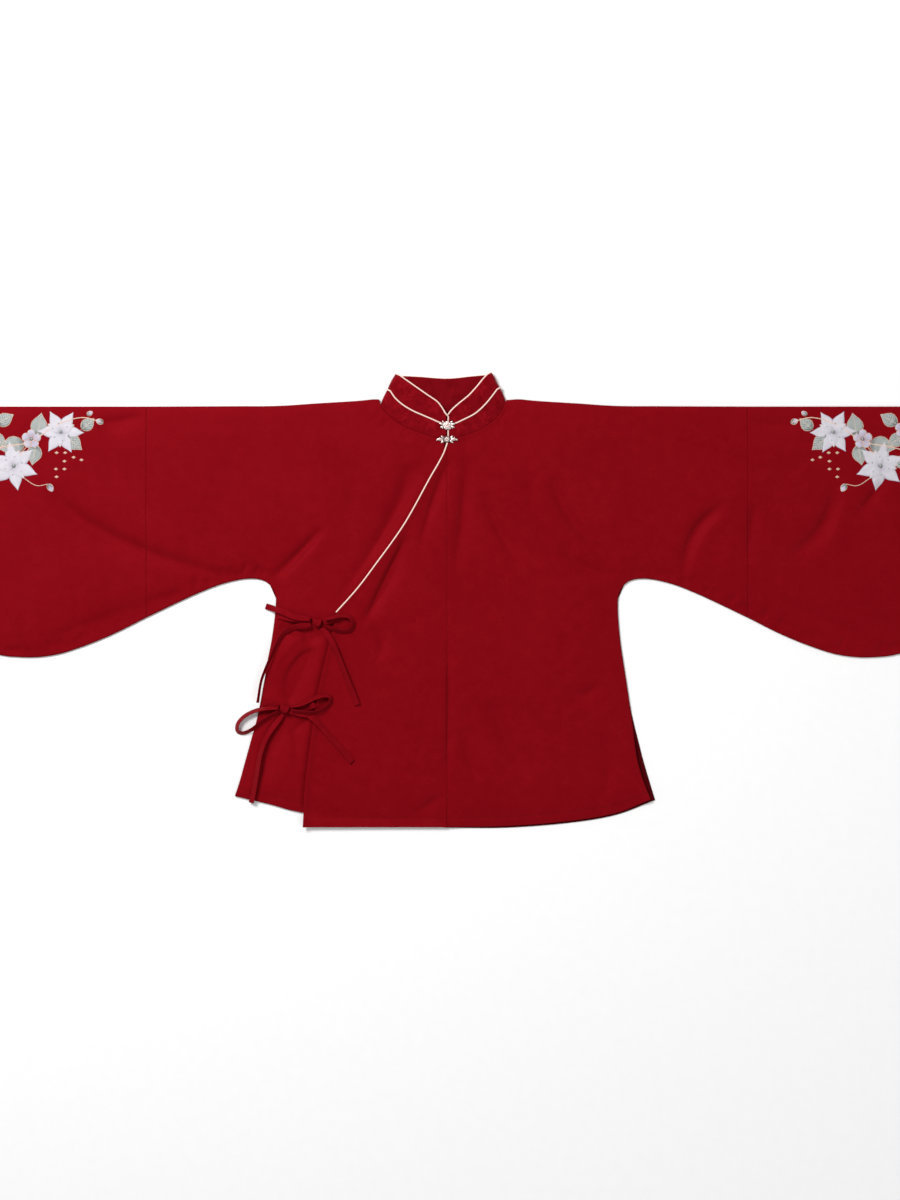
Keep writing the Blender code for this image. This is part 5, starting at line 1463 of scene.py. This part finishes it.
slit_left = curve_through(SIDE_LEFT_FRONT[:5], 80) - (FROM_SLIT, 0)
slit_right = (curve_through(SIDE_RIGHT[:6], 80) - (FROM_SLIT, 0)) * (-1, 1)
wrap_hem = stacked(np.linspace(-0.0015, LAP_EDGE[-1][0] + 0.004, 80), LAP_EDGE[-1][1] + HEM_TURN)
wrap_edge = curve_through(LAP_EDGE[LAP_CORNER_ROW:], 160) + (FROM_EDGE, 0)
for name, line, height in (("stitches_hem_left", hem_line(HEM_FRONT_LEFT, 0.0015, 1), outer_z),
                           ("stitches_hem_right", hem_line(HEM_FRONT_RIGHT, 0.2185, -1), under_z),
                           ("stitches_slit_left", slit_left[6:], outer_z),
                           ("stitches_slit_right", slit_right[6:], under_z),
                           ("stitches_hem_wrap", wrap_hem, wrap_z),
                           ("stitches_edge_wrap", wrap_edge[:-8], wrap_z)):
    joined(name, stitch_row(line, height), RED_THREAD)

# Table, light and camera
TABLE_HALF = 6
TABLE_DROP = 0.0003
mesh = bpy.data.meshes.new("table")
mesh.from_pydata([(x * TABLE_HALF, y * TABLE_HALF, 0) for x, y in ((-1, -1), (1, -1), (1, 1), (-1, 1))], [],
                 [(0, 1, 2, 3)])
table = bpy.data.objects.new("table", mesh)
bpy.context.scene.collection.objects.link(table)
table.location = (0, 0, -TABLE_DROP)
white = Finish("pale_table")
grain = white.noise(white.place(), 60.0)
mesh.materials.append(white.surface(Base_Color=white.blend(grain, (0.93, 0.93, 0.93), (0.96, 0.96, 0.96)),
                                    Roughness=0.9, Specular_IOR_Level=0.1))


# How each piece was cut
def cut_of(obj):
    """Width, length and area in metres of a piece laid flat, from its own flat map."""
    spots = np.empty(2 * len(obj.data.loops))
    obj.data.uv_layers["cloth"].data.foreach_get("uv", spots)
    corners = spots.reshape(-1, 4, 2)
    after = np.roll(corners, -1, axis=1)
    area = np.abs((corners[..., 0] * after[..., 1] - after[..., 0] * corners[..., 1]).sum(axis=1)).sum() / 2
    width, length = np.ptp(corners.reshape(-1, 2), axis=0)
    return (round(float(width), 3), round(float(length), 3)), round(float(area), 4)


def laid_sheet(obj):
    """Works out a piece's cut from its flat map; nothing more is done with it."""
    flat, area = cut_of(obj)


laid_sheet(body_left)
laid_sheet(body_right)
laid_sheet(sleeve_left)
laid_sheet(sleeve_right)
laid_sheet(wrap)
laid_sheet(collar_lower)
laid_sheet(collar_upper)
laid_sheet(collar_lining)
for bow in BOWS:
    for name in bow["straps"] + bow["tails"] + bow["loops"]:
        knot = [bpy.data.objects[bow["knot"] + "_cloth"]] if name == bow["straps"][0] else []
        bpy.data.objects[name + "_cloth"]


def soft_light(name, place, width, power):
    """A round soft light that points at the middle of the jacket."""
    data = bpy.data.lights.new(name, "AREA")
    data.shape = "DISK"
    data.size = width
    data.energy = power
    lamp = bpy.data.objects.new(name, data)
    bpy.context.scene.collection.objects.link(lamp)
    lamp.location = place
    lamp.rotation_mode = "QUATERNION"
    lamp.rotation_quaternion = (-Vector(place)).to_track_quat("-Z", "Y")


soft_light("key", (-1.7, 1.8, 2.9), 1.5, 124)
soft_light("fill", (2.4, -1.4, 3.0), 2.4, 24)
world = bpy.data.worlds.new("studio")
bpy.context.scene.world = world
world.use_nodes = True
world.node_tree.nodes["Background"].inputs["Color"].default_value = (1, 1, 1, 1)
world.node_tree.nodes["Background"].inputs["Strength"].default_value = 0.43

camera_data = bpy.data.cameras.new("camera")
camera = bpy.data.objects.new("camera", camera_data)
bpy.context.scene.collection.objects.link(camera)
LENS, SENSOR, VIEW_HEIGHT = 85, 36, 1.842
camera_data.lens = LENS
camera_data.sensor_width = SENSOR
camera.location = (0.0046, 0.0004, VIEW_HEIGHT * LENS / SENSOR)
bpy.context.scene.camera = camera
bpy.context.scene.view_settings.view_transform = "Standard"
